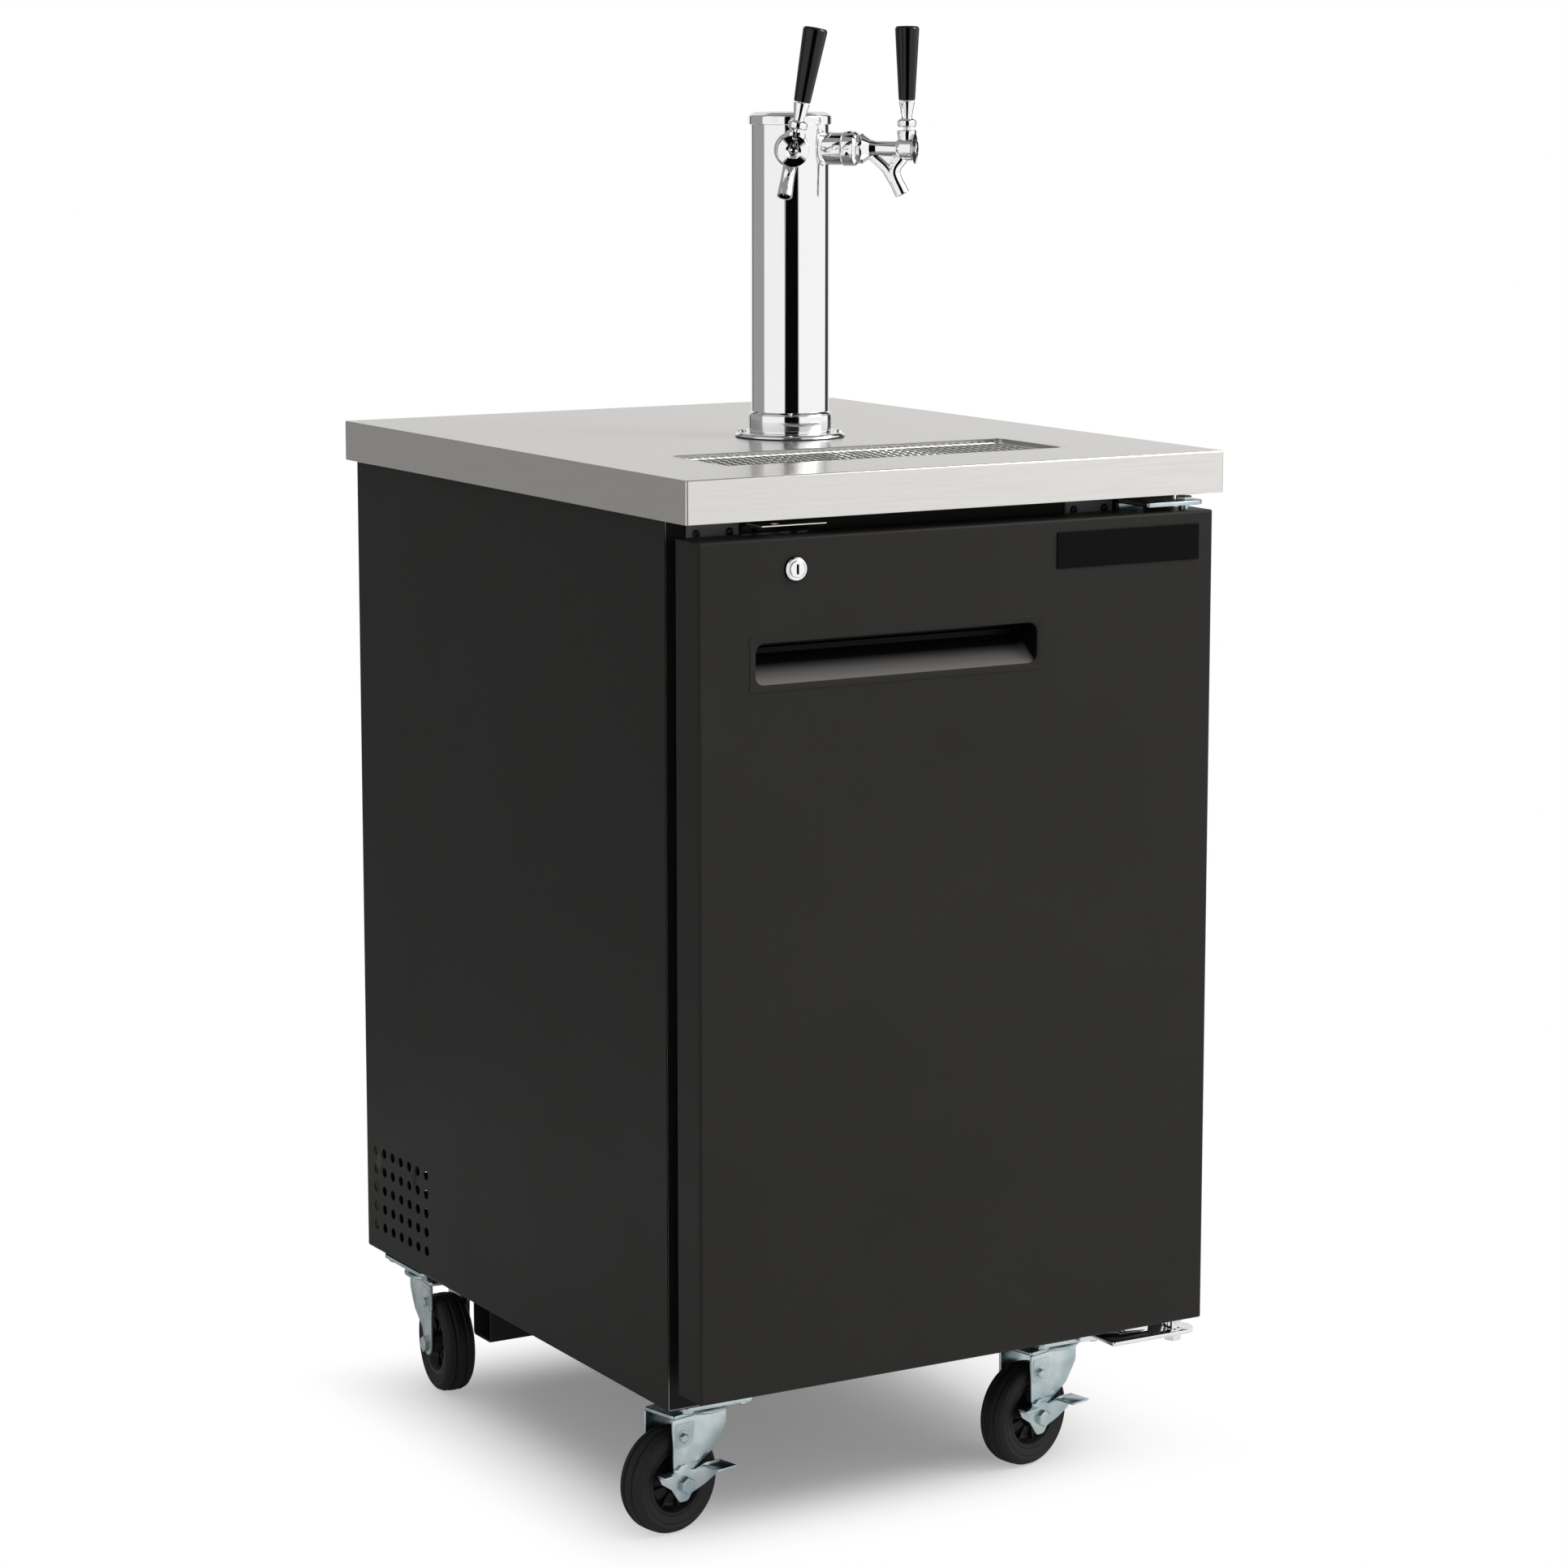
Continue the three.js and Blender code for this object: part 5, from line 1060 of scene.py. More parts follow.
tube_foot = tower_foot + flange_height
tube_top = corners("tower_cap")[0].z
base_ring = 41
column = turned_round([
    (tube_radius - tube_wall, tube_foot, 0), (base_ring - 0.6, tube_foot, 0.5),
    (base_ring, tube_foot + 2.6, 0.5), (base_ring - 0.6, tube_foot + 3, 0.2),
    (base_ring, tube_foot + 3.4, 0.4), (base_ring, tube_foot + 17.4, 0.8),
    (base_ring - 0.7, tube_foot + 17.8, 0.2), (base_ring - 0.3, tube_foot + 18.2, 0.5),
    (tube_radius + 0.7, tube_foot + 20, 1), (tube_radius, tube_foot + 20.6, 0.2),
    (tube_radius, tube_top, 0), (tube_radius - tube_wall, tube_top, 0)], 128, 3, ring=True)
for side in faucet_bearing:
    column = cut(column, moved(rod(11.4, 0, 60, 40), Matrix.Translation(-tower_middle)
                               @ shank_place(side) @ upright))
finish_piece("chromed_column", moved(column, tower_place), chrome, "cabinet", "chrome", "tower_column")

cap_low, cap_high = corners("tower_cap")
cap_radius = (cap_high.x - cap_low.x) / 2
cap = turned_round([
    (0, cap_low.z, 0), (cap_radius, cap_low.z, 0.8), (cap_radius, cap_high.z - 4.4, 2.2),
    (cap_radius - 6, cap_high.z - 1, 5), (0, cap_high.z, 30)], 128)
set_screw = turned_round([(0, 0, 0), (2.6, 0, 0.3), (2.6, 0.6, 0.3), (1.4, 0.6, 0), (1.2, 0.1, 0),
                          (0, 0.1, 0)], 16)
toward_view = Matrix.Rotation(math.atan2(-0.78, 0.62), 4, "Z")
cap_screw = moved(set_screw, toward_view @ Matrix.Translation(
    (0, -cap_radius + 0.3, cap_low.z + 5.5)) @ upright)
finish_piece("domed_cap", moved(joined(cap, cap_screw), tower_place), chrome, "cabinet", "chrome",
             "tower_cap")


# Faucets: each hangs on a threaded shank with a saddle collar and a coupling nut. The body is one
# chromed casting with a cone, a slim barrel, a round head and a spout; the lever carries a grip.
def knurled(profile, teeth, depth):
    """A turned ring with straight knurling."""
    bm = turned(profile, teeth * 2)
    for vertex in bm.verts:
        around = math.atan2(vertex.co.y, vertex.co.x) * teeth / math.pi
        radius = vertex.co.xy.length
        if round(around) % 2 and radius > depth * 4:
            vertex.co.xy *= (radius - depth) / radius
    return bm


# Gloss phenolic: black and lacquered, so that each edge of the studio shows in it.
gloss_black = patterned("black gloss phenolic", "#060606", 0.16, (60, 3), gloss=(0.08, 0.18),
                        specular_ior_level=0.28, coat_weight=0.2, coat_roughness=0.05)

# Milky plastic line: pale PVC that softens what light it takes.
line_plastic = patterned("milky PVC line", "#cfd2cc", 0.32, (70, 3), tones=("#c3c7c1", "#dadcd6"),
                         subsurface_weight=0.2)


def curved(stations, steps=5):
    """A smooth path through stations of (reach, height, radius) in a faucet's middle plane."""
    knots = [Vector(station) for station in stations]
    knots = [knots[0] * 2 - knots[1]] + knots + [knots[-1] * 2 - knots[-2]]
    smooth = []
    for before, start, end, after in zip(knots, knots[1:], knots[2:], knots[3:]):
        for step in range(steps):
            t = step / steps
            smooth.append(0.5 * (
                2 * start + (end - before) * t + (2 * before - 5 * start + 4 * end - after) * t ** 2
                + (3 * start - before - 3 * end + after) * t ** 3))
    smooth.append(knots[-2])
    return [Vector((0, -reach, height)) for reach, height, _ in smooth], [radius for _, _, radius in smooth]


# The spout is a Y: one arm comes from under the cone and one from the head, and both run into the
# nozzle, with a thin web between them.
nozzle_points = [(116, -1, 7), (110.6, -8.6, 6.9), (105.2, -16, 6.6), (103.4, -23.4, 6.4),
                 (106, -31.6, 6.7), (109.2, -38, 7.1), (112, -43.6, 7.2)]
arm_points = [(77, -2, 5), (83, -7.4, 5.2), (90, -13.2, 5.2), (96, -18.8, 5.4), (101, -26, 5.8),
              (105, -33.4, 5.6)]
web_outline = [(84, -4), (97, -22.6), (106, -22.6), (112, -4)]
faucet_start = nut_end
head_at = 116
head_back, head_front = head_at - 9, head_at + 12
lever_pivot = Vector((0, -head_at, 6))
for side in faucet_bearing:
    place = shank_place(side)
    leaned = place @ Matrix.Rotation(math.radians(faucet_lean[side]), 4, "Y")

    saddle = turned_round([(0, 30, 0), (16, 30, 0), (16, collar_end, 0.8), (0, collar_end, 0)], 48)
    saddle = cut(moved(saddle, upright), rod(tube_radius + 0.1, -30, 30, 128))
    thread = knurled([(0, 20.5), (10.6, 20.5), (10.6, nut_end - 8), (0, nut_end - 8)], 40, 0.3)
    shank_bore = moved(rod(4.5, 15, 40, 24), upright)
    shank = cut(joined(saddle, moved(thread, upright)), shank_bore)
    finish_piece("threaded_shank_" + side, moved(shank, place), chrome, "cabinet", "chrome",
                 "shank_" + side)

    nut = turned_round([
        (11.2, collar_end + 0.2, 0), (16.4, collar_end + 0.2, 0.4), (17, collar_end + 1, 0.4),
        (17, nut_end - 3, 0.8), (14.6, nut_end - 0.2, 1), (11.2, nut_end - 0.2, 0)], 72, 3, ring=True)
    spanner_holes = joined(*[moved(rod(1, 9, 19, 20), Matrix.Rotation(math.radians(angle), 4, "Z")
                                   @ Matrix.Translation((0, 0, (collar_end + nut_end) / 2 - 0.6))
                                   @ lying @ Matrix.Diagonal((2.1, 3.1, 1, 1)))
                             for angle in (20, 110, 200, 290)])
    finish_piece("coupling_ring_" + side, moved(cut(nut, spanner_holes), place @ upright), chrome,
                 "cabinet", "chrome", "coupling_nut_" + side)

    # The round head's dome is drawn a little past the axis, so this profile isn't cut off there.
    barrel = turned([(p.x, p.y) for p in rounded([
        (0, faucet_start - 7.3, 0), (10.8, faucet_start - 7.3, 0), (10.8, faucet_start, 0),
        (14.5, faucet_start, 0.6), (14.5, faucet_start + 4, 1), (9, faucet_start + 12, 2.5),
        (7.5, faucet_start + 18, 4), (7.5, head_back, 0.6), (9.2, head_back, 0.6),
        (11.5, head_back + 3.7, 2), (11.5, head_front - 5, 2.5), (8, head_front - 1.9, 2),
        (0, head_front, 12)], 4)], 64)
    flats = joined(*[moved(block((13.4, -20, faucet_start + 3.6), (20, 20, faucet_start + 14)),
                           Matrix.Rotation(math.radians(angle), 4, "Z")) for angle in range(15, 375, 45)])
    barrel = moved(cut(barrel, flats), upright)
    nozzle_path, nozzle_width = curved(nozzle_points)
    nozzle = tube_along(nozzle_path, nozzle_width, 40)
    nozzle_bore = tube_along([nozzle_path[-1] * 1.5 - nozzle_path[-3] * 0.5, nozzle_path[-10]], 5.4, 32)
    arm_path, arm_width = curved(arm_points)
    web = moved(plate(web_outline, -2.4, 2.4),
                Matrix(((0, 0, 1, 0), (-1, 0, 0, 0), (0, 1, 0, 0), (0, 0, 0, 1))))
    bonnet = turned_round([(0, 0, 0), (8, 0, 0), (8.2, 9, 1), (9.4, 15, 2), (9.4, 17.4, 0.8),
                           (8.4, 18, 0.5), (0, 18, 0)], 56, 3)
    moved(bonnet, Matrix.Translation((0, -head_at, 0)))
    lever_slot = block((-3.6, -head_at - 10, 1.8), (3.6, 3.6 - head_at, 25))
    lever_socket = moved(rod(4.2, -4.2, 4.2, 32), Matrix.Translation(lever_pivot) @ lying)
    body = cut(cut(barrel, nozzle, "UNION"), tube_along(arm_path, arm_width, 36), "UNION")
    body = cut(cut(body, softened(web, 1), "UNION"), bonnet, "UNION")
    body = cut(cut(cut(body, nozzle_bore), lever_slot), lever_socket)
    finish_piece("faucet_casting_" + side, moved(body, leaned), chrome, "cabinet", "chrome",
                 "faucet_body_" + side)

    ball = turned([(4 * math.sin(math.pi * step / 12), -4 * math.cos(math.pi * step / 12))
                   for step in range(13)], 32)
    stem = rod(3, 2, 20, 32)
    lever_ring = turned_round([(0, 15, 0), (8.2, 15, 0.6), (9.2, 16.2, 1), (9.2, 21, 1.6), (6.8, 23, 0.8),
                               (0, 23, 0)], 56)
    ferrule = turned_round([(0, 22, 0), (5.4, 22, 0), (5.2, 25, 1), (7.6, 38, 2), (8, 39.4, 0.4),
                            (3, 39.8, 0), (3, 47.6, 0), (0, 47.6, 0)], 48)
    lever_place = leaned @ Matrix.Translation(lever_pivot)
    finish_piece("lever_" + side, moved(joined(ball, stem, lever_ring, ferrule), lever_place),
                 chrome, side + "_tap", "chrome", "tap_lever_" + side)
    grip = turned_round([(3.3, 40.4, 0), (7.6, 40.4, 0.6), (8.1, 42, 1), (11.8, 109, 2), (10.4, 111.4, 2),
                         (0, 112, 0)], 64)
    grip_bore = turned([(3.3, 40.4), (3.3, 48.4), (0, 48.4)], 64)
    finish_piece("grip_" + side, moved(joined(grip, grip_bore), lever_place), gloss_black,
                 side + "_tap", "gloss_black", "tap_grip_" + side)

    bearing = math.radians(faucet_bearing[side])
    outward = Vector((math.sin(bearing), -math.cos(bearing), 0))
    line_x = tower_middle.x + (-11 if side == "left" else 11)
    line_end = tower_foot - 342
    start = tower_middle + outward * 19.8 + Vector((0, 0, shank_height))
    bend = [start, start - outward * 14, Vector((line_x, tower_middle.y, shank_height - 6)),
            Vector((line_x, tower_middle.y, shank_height - 34))]
    path = []
    for step in range(13):
        t = step / 12
        weights = ((1 - t) ** 3, 3 * t * (1 - t) ** 2, 3 * t * t * (1 - t), t ** 3)
        path.append(sum((point * weight for point, weight in zip(bend, weights)), Vector()))
    path.append(Vector((line_x, tower_middle.y, line_end + 20)))
    line = tube_along(path, 4.8, 20)
    finish_piece("riser_tube_" + side, line, line_plastic, "cabinet", "hose", "beer_line_" + side)
    nut_x = line_x + (-6.5 if side == "left" else 6.5)
    keg_nut = turned_round([
        (0, line_end, 0), (12.2, line_end, 0.3), (13, line_end + 1, 0.4), (13, line_end + 19, 0.4),
        (12.2, line_end + 20, 0.3), (0, line_end + 20, 0)], 6)
    finish_piece("keg_nut_" + side, moved(keg_nut, Matrix.Translation((nut_x, tower_middle.y, 0))), chrome,
                 "cabinet", "hose", sharp=20)


# Door: a pan of prepainted steel folded round foam, over a white thermoformed liner, with a magnetic
# gasket pressed into the liner's groove. It swings on two pins at its right edge.
door_low, door_high = corners("door_skin")
door_front = door_low.y
door_sheet = 2
door_bend = 2.6
pocket_low, pocket_high = corners("handle_pocket")
pocket_frame = 6.5
lock_middle = Vector((-180, 0, 917))
lock_radius = 11
bolt_half = 4
bolt_middle = -326.4
pin_middle = Vector((258, -344, 0))
pin_radius = 5


def door_loop(inset, level, corner):
    """The door's outline at one depth."""
    return upright_loop(door_low.x + inset, door_high.x - inset, door_low.z + inset, door_high.z - inset,
                        corner, level)


def on_lock(bm):
    """A shape drawn along Z, with its front upward, laid on the lock's axis."""
    return moved(bm, Matrix.Translation(lock_middle) @ upright)


door_loops = [door_loop(door_sheet, door_front + door_sheet, 1.4),
              door_loop(door_sheet, door_high.y - 0.4, 1.4), door_loop(door_sheet - 0.4, door_high.y, 1.4),
              door_loop(0.5, door_high.y, 1.2), door_loop(0, door_high.y - 0.5, 1.2)]
door_loops += [door_loop(door_bend * (1 - math.cos(a)), door_front + door_bend * (1 - math.sin(a)), 1.6)
               for a in quarter]
door_pan = lofted(door_loops)
pocket_cut = block((pocket_low.x + 4.3, door_front - 3, pocket_low.z + 4.3),
                   (pocket_high.x - 4.3, door_front + 40, pocket_high.z - 4.3))
bolt_cut = block((lock_middle.x - bolt_half - 0.6, bolt_middle - bolt_half - 0.6, lock_middle.z - 40),
                 (lock_middle.x + bolt_half + 0.6, bolt_middle + bolt_half + 0.6, door_high.z + 5))
pin_cuts = [moved(rod(pin_radius + 0.2, low, high), Matrix.Translation(pin_middle))
            for low, high in ((door_low.z - 5, door_low.z + 24), (door_high.z - 24, door_high.z + 5))]
lock_cut = on_lock(rod(lock_radius + 0.2, -door_front - 20, -door_front + 5, 48))
door_pan = cut(door_pan, joined(pocket_cut, lock_cut))
door_pan = cut(door_pan, joined(bolt_cut, *pin_cuts))
finish_piece("painted_door_pan", door_pan, powder_coat, "door", "black_paint", "door_skin", sharp=40)
finish_piece("door_inner", softened(copied("door_liner"), 1.2), white_abs, "door", "white_plastic",
             "door_liner")

# Gasket: a soft extrusion with two bellows and a magnet strip, welded at its mitred corners. Its
# flexible PVC is dark grey and slightly waxy.
seal_vinyl = patterned("flexible PVC seal", "#1c1c1c", 0.5, (120, 3), gloss=(0.42, 0.6), ior=1.53)
gasket_low, gasket_high = corners("door_gasket")
gasket_width = 15
seal_profile = rounded([
    (0, 0, 0), (gasket_width, 0, 0), (gasket_width - 1, 3, 0.8), (gasket_width - 3.4, 5.4, 0.8),
    (gasket_width - 0.6, 8, 0.8), (gasket_width - 2.4, 11.6, 1), (gasket_width - 0.4, 14, 1),
    (gasket_width - 0.4, 18.7, 1.2), (0.4, 18.7, 1.2), (0.4, 14, 1), (2.4, 11.6, 1), (0.6, 8, 0.8),
    (3.4, 5.4, 0.8), (1, 3, 0.8)], 3)
seal = lofted([upright_loop(gasket_low.x + p.x, gasket_high.x - p.x, gasket_low.z + p.x, gasket_high.z - p.x,
                            0.2, gasket_low.y + p.y) for p in seal_profile], ring=True)
finish_piece("bellows_seal", seal, seal_vinyl, "door", "rubber", "door_gasket", sharp=50)

# Badge plate: thin aluminium with a smooth near-black face, bare, held by its adhesive.
badge_face = patterned("black anodised plate", "#080808", 0.34, (40, 3), gloss=(0.28, 0.4),
                       specular_ior_level=0.06)
badge_low, badge_high = corners("badge_plate")
bare_plate = plate(rectangle(badge_low.x, badge_high.x, badge_low.z, badge_high.z, 0.8),
                   badge_low.y, badge_high.y, axis="Y")
finish_piece("bare_badge", softened(bare_plate, 0.3), badge_face, "door", "gloss_black", "badge_plate")

# Handle pocket: moulded ABS in a hole of the door, with a flush frame and a floor that slopes up.
# Its floor is painted paler towards its front edge, as painted light from above, and its depth is painted
# near black, as painted shade.
pocket_reach, pocket_rise = 30, 22
pocket_slope = pocket_rise / pocket_reach
pocket_abs_painted_light, tree, shader = new_material("moulded ABS with painted light and shade", "#262524", 0.5, specular_ior_level=0.1)
place = add_node(tree, "ShaderNodeTexCoord", {}).outputs["Object"]
axes = add_node(tree, "ShaderNodeSeparateXYZ", {"Vector": place})
# From the pocket's front to its back, the ramp below runs from painted light, palest at the floor's front
# edge, to painted shade near black.
depth = add_node(tree, "ShaderNodeMapRange", {
    "Value": axes.outputs["Y"], "From Min": (door_front + 1) / 1000, "From Max": (door_front + 24) / 1000})
painted_pocket_floor_light = add_node(tree, "ShaderNodeValToRGB", {"Fac": depth})
tones = painted_pocket_floor_light.color_ramp.elements
tones[0].color = linear("#737170")
tones[1].color = linear("#0b0b0b")
tones.new(0.55).color = linear("#5b5958")
# Away from the sloping floor, the pocket's walls and ceiling take the painted shade, near black.
rise = add_node(tree, "ShaderNodeMath", {
    0: axes.outputs["Y"], 1: -pocket_slope, 2: axes.outputs["Z"]}, operation="MULTIPLY_ADD")
sloped_foot = (pocket_low.z + pocket_frame - pocket_slope * (door_front + 2)) / 1000
on_floor = add_node(tree, "ShaderNodeMapRange", {
    "Value": rise, "From Min": sloped_foot + 0.001, "From Max": sloped_foot + 0.004,
    "To Min": 1, "To Max": 0})
hollow = add_node(tree, "ShaderNodeMix", {"Factor": on_floor, "A": linear("#0b0b0b"), "B": painted_pocket_floor_light},
                  data_type="RGBA")
# The flush frame keeps the moulding's own dark grey.
inside = add_node(tree, "ShaderNodeMapRange", {
    "Value": axes.outputs["Y"], "From Min": (door_front + 0.2) / 1000,
    "From Max": (door_front + 0.8) / 1000})
moulding = add_node(tree, "ShaderNodeMix", {"Factor": inside, "A": linear("#292826"), "B": hollow},
                    data_type="RGBA")
feed(tree, shader, {"Base Color": moulding})
pocket_face = door_front - 0.7
opening_low = Vector((pocket_low.x + pocket_frame, pocket_low.z + pocket_frame))
opening_high = Vector((pocket_high.x - pocket_frame, pocket_high.z - pocket_frame))
pocket_back = door_front + 35


def pocket_loop(grow, level, corner, lift=0):
    """A loop round the pocket at one depth, whose bottom edge may stand higher."""
    return upright_loop(opening_low.x - grow, opening_high.x + grow, opening_low.y - grow + lift,
                        opening_high.y + grow, corner, level)


pocket_loops = [pocket_loop(2, pocket_back + 2, 9), pocket_loop(2, door_front + 0.2, 9),
                pocket_loop(pocket_frame, door_front + 0.2, 1.5),
                pocket_loop(pocket_frame, pocket_face + 0.5, 1.5),
                pocket_loop(pocket_frame - 0.5, pocket_face, 1.5), pocket_loop(0.9, pocket_face, 9),
                pocket_loop(0.3, pocket_face + 0.3, 9), pocket_loop(0, pocket_face + 1, 9),
                pocket_loop(0, door_front + 2, 9)]
pocket_loops += [pocket_loop(0, door_front + 2 + share * pocket_reach, 9,
                             pocket_slope * pocket_reach * share) for share in (0.25, 0.5, 0.75, 1)]
pocket_loops += [pocket_loop(-2, pocket_back, 7, pocket_rise)]
finish_piece("moulded_pocket", lofted(pocket_loops), pocket_abs_painted_light, "door", "black_plastic", "handle_pocket",
             sharp=30)

# Lock: a chromed barrel with a bevelled face and a plug that turns in it; the plug's cam lifts the
# bolt through the door's top edge into the strike.
barrel_front = door_front - 3.5
plug_radius = 7.5
plug_gap = 0.2
lock_tail = 335
barrel = turned_round([
    (plug_radius + plug_gap, lock_tail, 0), (lock_radius, lock_tail, 0),
    (lock_radius, -barrel_front - 1.4, 0.3), (lock_radius - 1.2, -barrel_front, 0.5),
    (plug_radius + 1, -barrel_front, 0.3), (plug_radius + plug_gap, -barrel_front - 0.8, 0.2)],
    steps=3, ring=True)
finish_piece("lock_case", on_lock(barrel), chrome, "door", "chrome", "lock_barrel")
plug_front = -barrel_front + 0.6
plug = turned_round([(0, lock_tail, 0), (plug_radius, lock_tail, 0), (plug_radius, plug_front, 0.7),
                     (0, plug_front, 0)])
cam = rod(4, lock_tail - 4, lock_tail + 0.5, 24)
key_slot = (-1.3, 1.3, -4.7, 4.7)
keyhole = plate(rectangle(*key_slot, 0.9, 3), plug_front - 1.2, plug_front + 2)
finish_piece("lock_core", on_lock(joined(cut(plug, keyhole), cam)), chrome, "lock_cylinder", "chrome",
             "lock_plug")
# A near-black plate fills the keyhole just under the plug's face: painted shade, standing for the dark
# inside of the keyway.
key_way = plate(rectangle(*key_slot), plug_front - 1.3, plug_front - 0.1)
finish_piece("key_way", on_lock(key_way), badge_face, "lock_cylinder", "chrome")
lock_washer = turned_round([
    (lock_radius + 0.1, -door_front, 0), (lock_radius + 1, -door_front, 0),
    (lock_radius + 1, -door_front + 0.6, 0.2), (lock_radius + 0.1, -door_front + 0.6, 0)])
finish_piece("lock_washer", on_lock(lock_washer), badge_face, "door", "chrome")
bolt_low, bolt_high = corners("lock_bolt")
finish_piece("lock_slide", softened(block(bolt_low, bolt_high), 0.8), zinc_plate, "lock_slider", "zinc",
             "lock_bolt")


# Fittings in the gap: bent steel straps under the worktop, and the strike plate, which takes the
# lock's bolt. All are screwed to the front frame.
rim_face = shell_low.y
face_front = Matrix.Translation((0, rim_face - 2, 0)) @ upright

# Dark oxide screws: blued steel with a dull sheen.
blued_steel = patterned("blued screw steel", "#3a3d40", 0.4, (300, 3), metallic=1, gloss=(0.32, 0.5))

# Phosphated steel: an even grey coat, paler than the dark gap behind it.
phosphated_steel = patterned("phosphated steel", "#858886", 0.45, (500, 2), metallic=0.3,
                             tones=("#787b79", "#919492"))


def bent_strap(low, high, outer_bend, inner_bend):
    """A strap along X, bent once between its upright leg and the lip that reaches forward from its top."""
    section = rounded([
        (high.y, low.z, 0), (high.y, high.z, outer_bend), (low.y, high.z, 0.6), (low.y, high.z - 2, 0.6),
        (high.y - 2, high.z - 2, inner_bend), (high.y - 2, low.z, 0.5)], 3)
    return plate(section, low.x, high.x, axis="X")


face_screws = []
for strap in ("bracket_left", "bracket_right"):
    low, high = corners(strap)
    finish_piece("bent_" + strap, softened(bent_strap(low, high, 0, 1.6), 0.3), phosphated_steel, "cabinet",
                 "stainless", strap)
    face_screws += [(low.x + inset, low.z + 5.4, 0) for inset in (9.6, 44.4)]

strike_low, strike_high = corners("lock_strike")
strike = bent_strap(strike_low, strike_high, 2.4, 0.6)
strike_hole = block((lock_middle.x - 4.6, bolt_middle - 4.6, strike_high.z - 5),
                    (lock_middle.x + 4.6, bolt_middle + 4.6, strike_high.z + 5))
finish_piece("bent_strike", softened(cut(strike, strike_hole), 0.35), chrome, "cabinet", "stainless",
             "lock_strike")
face_screws += [(strike_low.x + inset, strike_low.z + 3.6, 0) for inset in (12, 54)]
strap_screws = grown(spot_tree, screw_head(4.2, 2, 1.3), {"Material": blued_steel}, face_screws)
finish_repeat("strap_screws", moved(strap_screws, face_front), blued_steel, "cabinet")


# Hinges: straps that carry the door's two pins, the top one zinc-plated and the bottom one chromed. The top
# pin hangs from its arm on a nut, and the door stands on a toothed washer on the bottom one.
hinge_top_low, hinge_top_high = corners("top_hinge")
hinge_bottom_low = corners("bottom_hinge")[0]


def hinge_arm(left, half, low, high):
    """A flat strap from the front rim to a round end about the pin."""
    reach = pin_middle.x + half + 6
    outline = rounded([
        (left, rim_face, 0), (left, pin_middle.y - half, 3), (reach, pin_middle.y - half, half - 0.1),
        (reach, pin_middle.y + half, half - 0.1), (left + 34, pin_middle.y + half, 6),
        (left + 28, rim_face, 0)], 8)
    return softened(plate(outline, low, high), 0.5)


def on_pin(bm):
    """A shape drawn about Z, set on the hinges' pin."""
    return moved(bm, Matrix.Translation(pin_middle))


def pin_nut(radius, low, high):
    """A bevelled six-sided nut on the hinges' pin."""
    return on_pin(turned_round([
        (0, low, 0), (radius - 0.9, low, 0.3), (radius, low + 0.9, 0.3), (radius, high - 0.9, 0.3),
        (radius - 0.9, high, 0.3), (0, high, 0)], 6))


arm_low, arm_high = hinge_top_high.z - 8, hinge_top_high.z - 4
arm_left = hinge_top_low.x
top_arm = hinge_arm(arm_left, 12, arm_low, arm_high)
top_block = softened(block((arm_left, rim_face - 10, arm_high - 14),
                           (arm_left + 28, rim_face, arm_high - 0.2)), 1)
top_pin = on_pin(turned_round([(0, arm_low - 28.8, 0), (pin_radius, arm_low - 28.8, 1),
                               (pin_radius, arm_high, 0), (0, arm_high, 0)], 32))
finish_piece("top_strap", joined(top_arm, top_block, top_pin, pin_nut(8.5, arm_high, arm_high + 4)),
             zinc_plate, "cabinet", "zinc", "top_hinge")

foot_low, foot_high = hinge_bottom_low.z + 8, hinge_bottom_low.z + 12
foot_left = hinge_bottom_low.x
door_foot = door_low.z
bottom_arm = hinge_arm(foot_left, 15, foot_low, foot_high)
bottom_flange = softened(block((foot_left, rim_face - 4, foot_low - 11),
                               (foot_left + 80, rim_face, foot_high + 7)), 0.8)
bottom_pin = on_pin(turned_round([(0, foot_low, 0), (pin_radius, foot_low, 0),
                                  (pin_radius, door_foot + 23, 1), (0, door_foot + 23, 0)], 32))
toothed = on_pin(knurled([(0, foot_high), (8.2, foot_high), (9, foot_high + 0.8), (9, door_foot - 1.2),
                          (8.2, door_foot - 0.4), (0, door_foot - 0.4)], 14, 1.1))
finish_piece("bottom_strap", joined(bottom_arm, bottom_flange, bottom_pin, toothed,
                                    pin_nut(9, foot_low - 8, foot_low)),
             chrome, "cabinet", "zinc", "bottom_hinge")


# Casters: a pressed top plate with its ball race is screwed under the cabinet. A bent fork swivels
# below it and carries a moulded wheel on a bolt; the front pair also has a foot brake.

# Tread rubber: black and matt, greyed by dust where it rolls.
tread = patterned("hard tread rubber", "#0e0e0e", 0.6, (60, 6), tones=("#151515", "#232322"),
                  gloss=(0.5, 0.74), specular_ior_level=0.3)

# Moulded polypropylene: the wheel's dark core, a little shinier than its tread.
core_plastic = patterned("black polypropylene", "#101011", 0.4, (110, 3), gloss=(0.32, 0.46),
                         specular_ior_level=0.3)

wheel_radius, caster_trail = 50.8, 34
caster_height = shell_bottom
plate_under = caster_height - 4
crown_top, crown_under = 118.6, 114.6
leg_inner, leg_outer = 18.6, 21.6
casters = {"front_left": (-224, -250, -78), "front_right": (173, -250, -75),
           "rear_left": (-242, 275, -7), "rear_right": (190, 275, 20)}
axle = Matrix.Translation((0, -caster_trail, wheel_radius))

